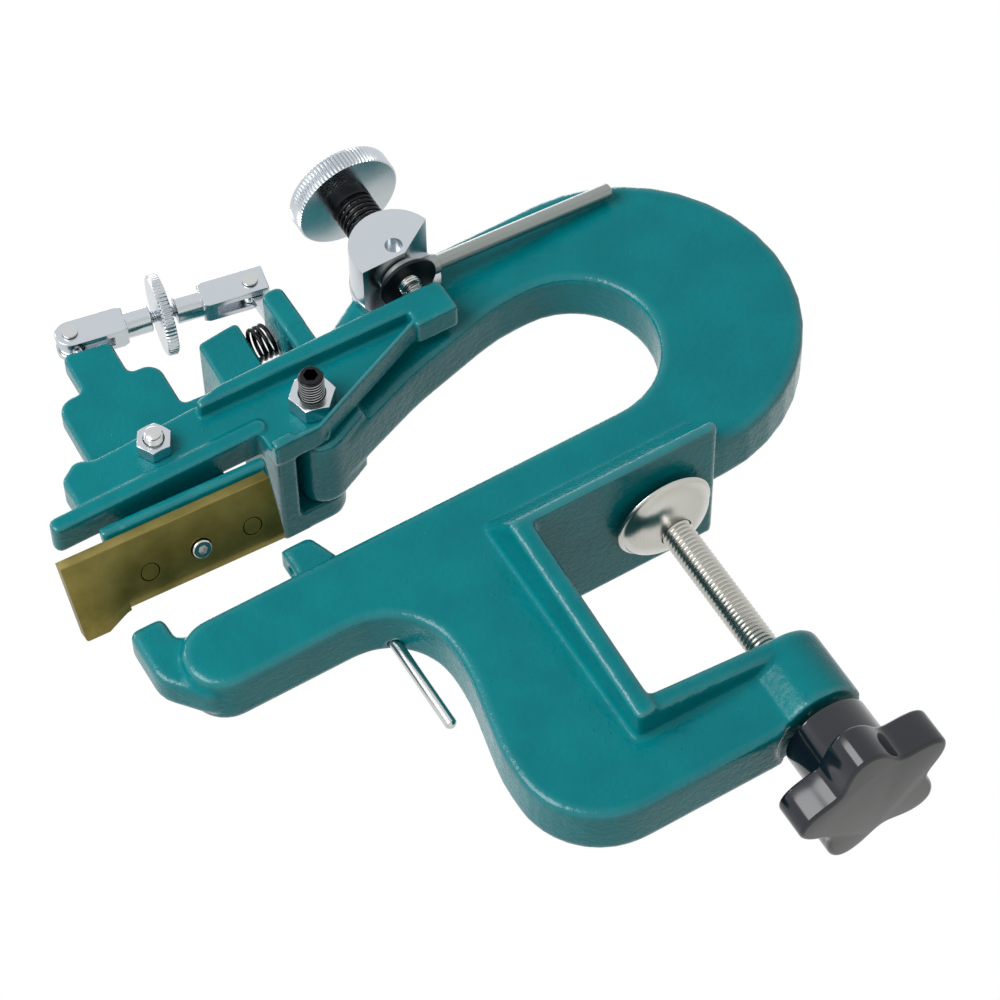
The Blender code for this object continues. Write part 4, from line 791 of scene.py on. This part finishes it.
# Height knob: a zinc-plated disc with a straight knurl round its rim, on a black turned
# hub. Both are fast on the adjusting screw.
low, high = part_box("height_knob")
knob_radius = (high.x - low.x) / 2
knob_under = high.z - 6.8 * MM
knob_ridges = 84
ridge_depth = 0.6 * MM
knob_chamfer = 0.5 * MM
adjust_bore = adjust_radius + 0.3 * MM
boss_radius = 6.9 * MM
boss_edge = 0.3 * MM
boss_top = knob_under + 0.1 * MM
knob_disc = toothed("knurled_knob", knob_radius, knob_ridges, ridge_depth,
                    knob_under, high.z, knob_chamfer)
knob_hub = turned("knob_hub", [
    (adjust_bore, low.z), (boss_radius - boss_edge, low.z), (boss_radius, low.z + boss_edge),
    (boss_radius, boss_top), (adjust_bore, boss_top), (adjust_bore, low.z),
], steps=64)
for made, material in ((knob_disc, zinc), (knob_hub, oxide)):
    made.data.transform(on_screw)
    dress(made, material, bend=35)
    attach(made, "adjuster")
    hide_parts("height_knob")

# Knob spring: a stout coil of the same wire round the screw, pressed between the block and
# the hub.
low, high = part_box("knob_spring")
knob_coil = spring("knob_coil", wire_across, (high.x - low.x - wire_across) / 2, low.z, high.z,
                   turns=6.2, place=on_screw)
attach(knob_coil, "trunnion")
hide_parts("knob_spring")


# Lock lever: a jam ring under the block, with a thin blackened face and a satin collar,
# and a steel rod screwed into the collar.

# Satin steel: centreless ground bar. It gives a soft sheen with faint marks round it,
# 1 mm apart along X, coarser than the real ones, so that they show.
satin, tree, shader, where = finish("satin_ground_steel")
ground = add(tree, "ShaderNodeMapping", {"Scale": (900, 90, 90)}, {"Vector": where})
lay = add(tree, "ShaderNodeTexNoise", {"Scale": 1.0, "Detail": 3}, {"Vector": ground.outputs["Vector"]})
scratch = add(tree, "ShaderNodeBump", {"Strength": 0.15, "Distance": 0.04 * MM},
              {"Height": lay.outputs["Fac"]})
tree.links.new(scratch.outputs["Normal"], shader.inputs["Normal"])
shade = add(tree, "ShaderNodeMapRange", {"To Min": 0.3, "To Max": 0.45}, {"Value": lay.outputs["Fac"]})
tree.links.new(shade.outputs["Result"], shader.inputs["Roughness"])
shader.inputs["Base Color"].default_value = colour("929896")
shader.inputs["Metallic"].default_value = 1.0

low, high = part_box("jam_ring")
ring_at = (low + high) / 2
ring_radius = (high.x - low.x) / 2
ring_edge = 0.3 * MM
face_low = low.z + 1.0 * MM
face_high = face_low + 1.3 * MM
collar_radius = 7.6 * MM
collar_edge = 0.4 * MM
collar_foot = face_high - 0.1 * MM
ring_face = turned("face_of_ring", [
    (adjust_bore, face_low), (ring_radius - ring_edge, face_low), (ring_radius, face_low + ring_edge),
    (ring_radius, face_high - ring_edge), (ring_radius - ring_edge, face_high), (adjust_bore, face_high),
    (adjust_bore, face_low),
])
ring_collar = turned("collar_of_ring", [
    (adjust_bore, collar_foot), (collar_radius, collar_foot), (collar_radius, high.z - collar_edge),
    (collar_radius - collar_edge, high.z), (adjust_bore, high.z), (adjust_bore, collar_foot),
])
for made, material in ((ring_face, oxide), (ring_collar, satin)):
    made.data.transform(Matrix.Translation((ring_at.x, ring_at.y, 0)))
    dress(made, material, bend=35)
    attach(made, "lever")
    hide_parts("jam_ring")
lever_rod = machined("rod_of_lever", "lock_lever", edge=0.1 * MM, material=satin)
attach(lever_rod, "lever")
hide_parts("lock_lever")


# Studio: a white surround that the camera, gloss and glass see, a plain pale floor far
# below, and soft lamps to the left, high to the left and above.


def rays_that_see(tree):
    """Gives 1 on rays of the camera, of gloss and of glass, and 0 on the others."""
    rays = add(tree, "ShaderNodeLightPath")
    seen = rays.outputs["Is Camera Ray"]
    for kind in ("Is Glossy Ray", "Is Transmission Ray"):
        larger = add(tree, "ShaderNodeMath", {"operation": "MAXIMUM"})
        tree.links.new(seen, larger.inputs[0])
        tree.links.new(rays.outputs[kind], larger.inputs[1])
        seen = larger.outputs[0]
    return seen


world = bpy.data.worlds.new("studio_surround")
bpy.context.scene.world = world
world.use_nodes = True
tree = world.node_tree
tree.nodes.clear()
fill = add(tree, "ShaderNodeBackground", {"Color": (1, 1, 1, 1), "Strength": 0.25})
white = add(tree, "ShaderNodeBackground", {"Color": (1, 1, 1, 1), "Strength": 1.0})
both = add(tree, "ShaderNodeMixShader", {}, {"Fac": rays_that_see(tree)})
tree.links.new(fill.outputs[0], both.inputs[1])
tree.links.new(white.outputs[0], both.inputs[2])
add(tree, "ShaderNodeOutputWorld", {}, {"Surface": both.outputs[0]})

# Floor: a matt board of pale grey card. It is lit by itself for the same rays, so that it
# shows evenly pale, and it keeps the object's shadow.
pale, tree, shader, where = finish("pale_floor")
shader.inputs["Base Color"].default_value = colour("E9E9E6")
shader.inputs["Roughness"].default_value = 0.9
shader.inputs["Emission Color"].default_value = colour("CFCFCC")
tree.links.new(rays_that_see(tree), shader.inputs["Emission Strength"])
floor_place = (0, 0, -1.8)
floor_size = 12
bpy.ops.mesh.primitive_plane_add(size=floor_size, location=floor_place)
floor = bpy.context.object
floor.name = "floor"
floor.data.materials.append(pale)

lit_point = Vector((-0.05, 0, 0.03))
for name, place, size, power in (
        ("left_lamp", (-1.1, -1.35, 0.2), 1.1, 22.0),
        ("edge_lamp", (-0.9, -0.5, 1.3), 0.3, 3.0),
        ("top_lamp", (0.3, 0.4, 1.8), 1.2, 12.0)):
    bpy.ops.object.light_add(type="AREA", location=place)
    lamp = bpy.context.object
    lamp.name = name
    lamp.data.shape = "SQUARE"
    lamp.data.size = size
    lamp.data.energy = power
    lamp.rotation_euler = (Vector(place) - lit_point).to_track_quat("Z", "Y").to_euler()
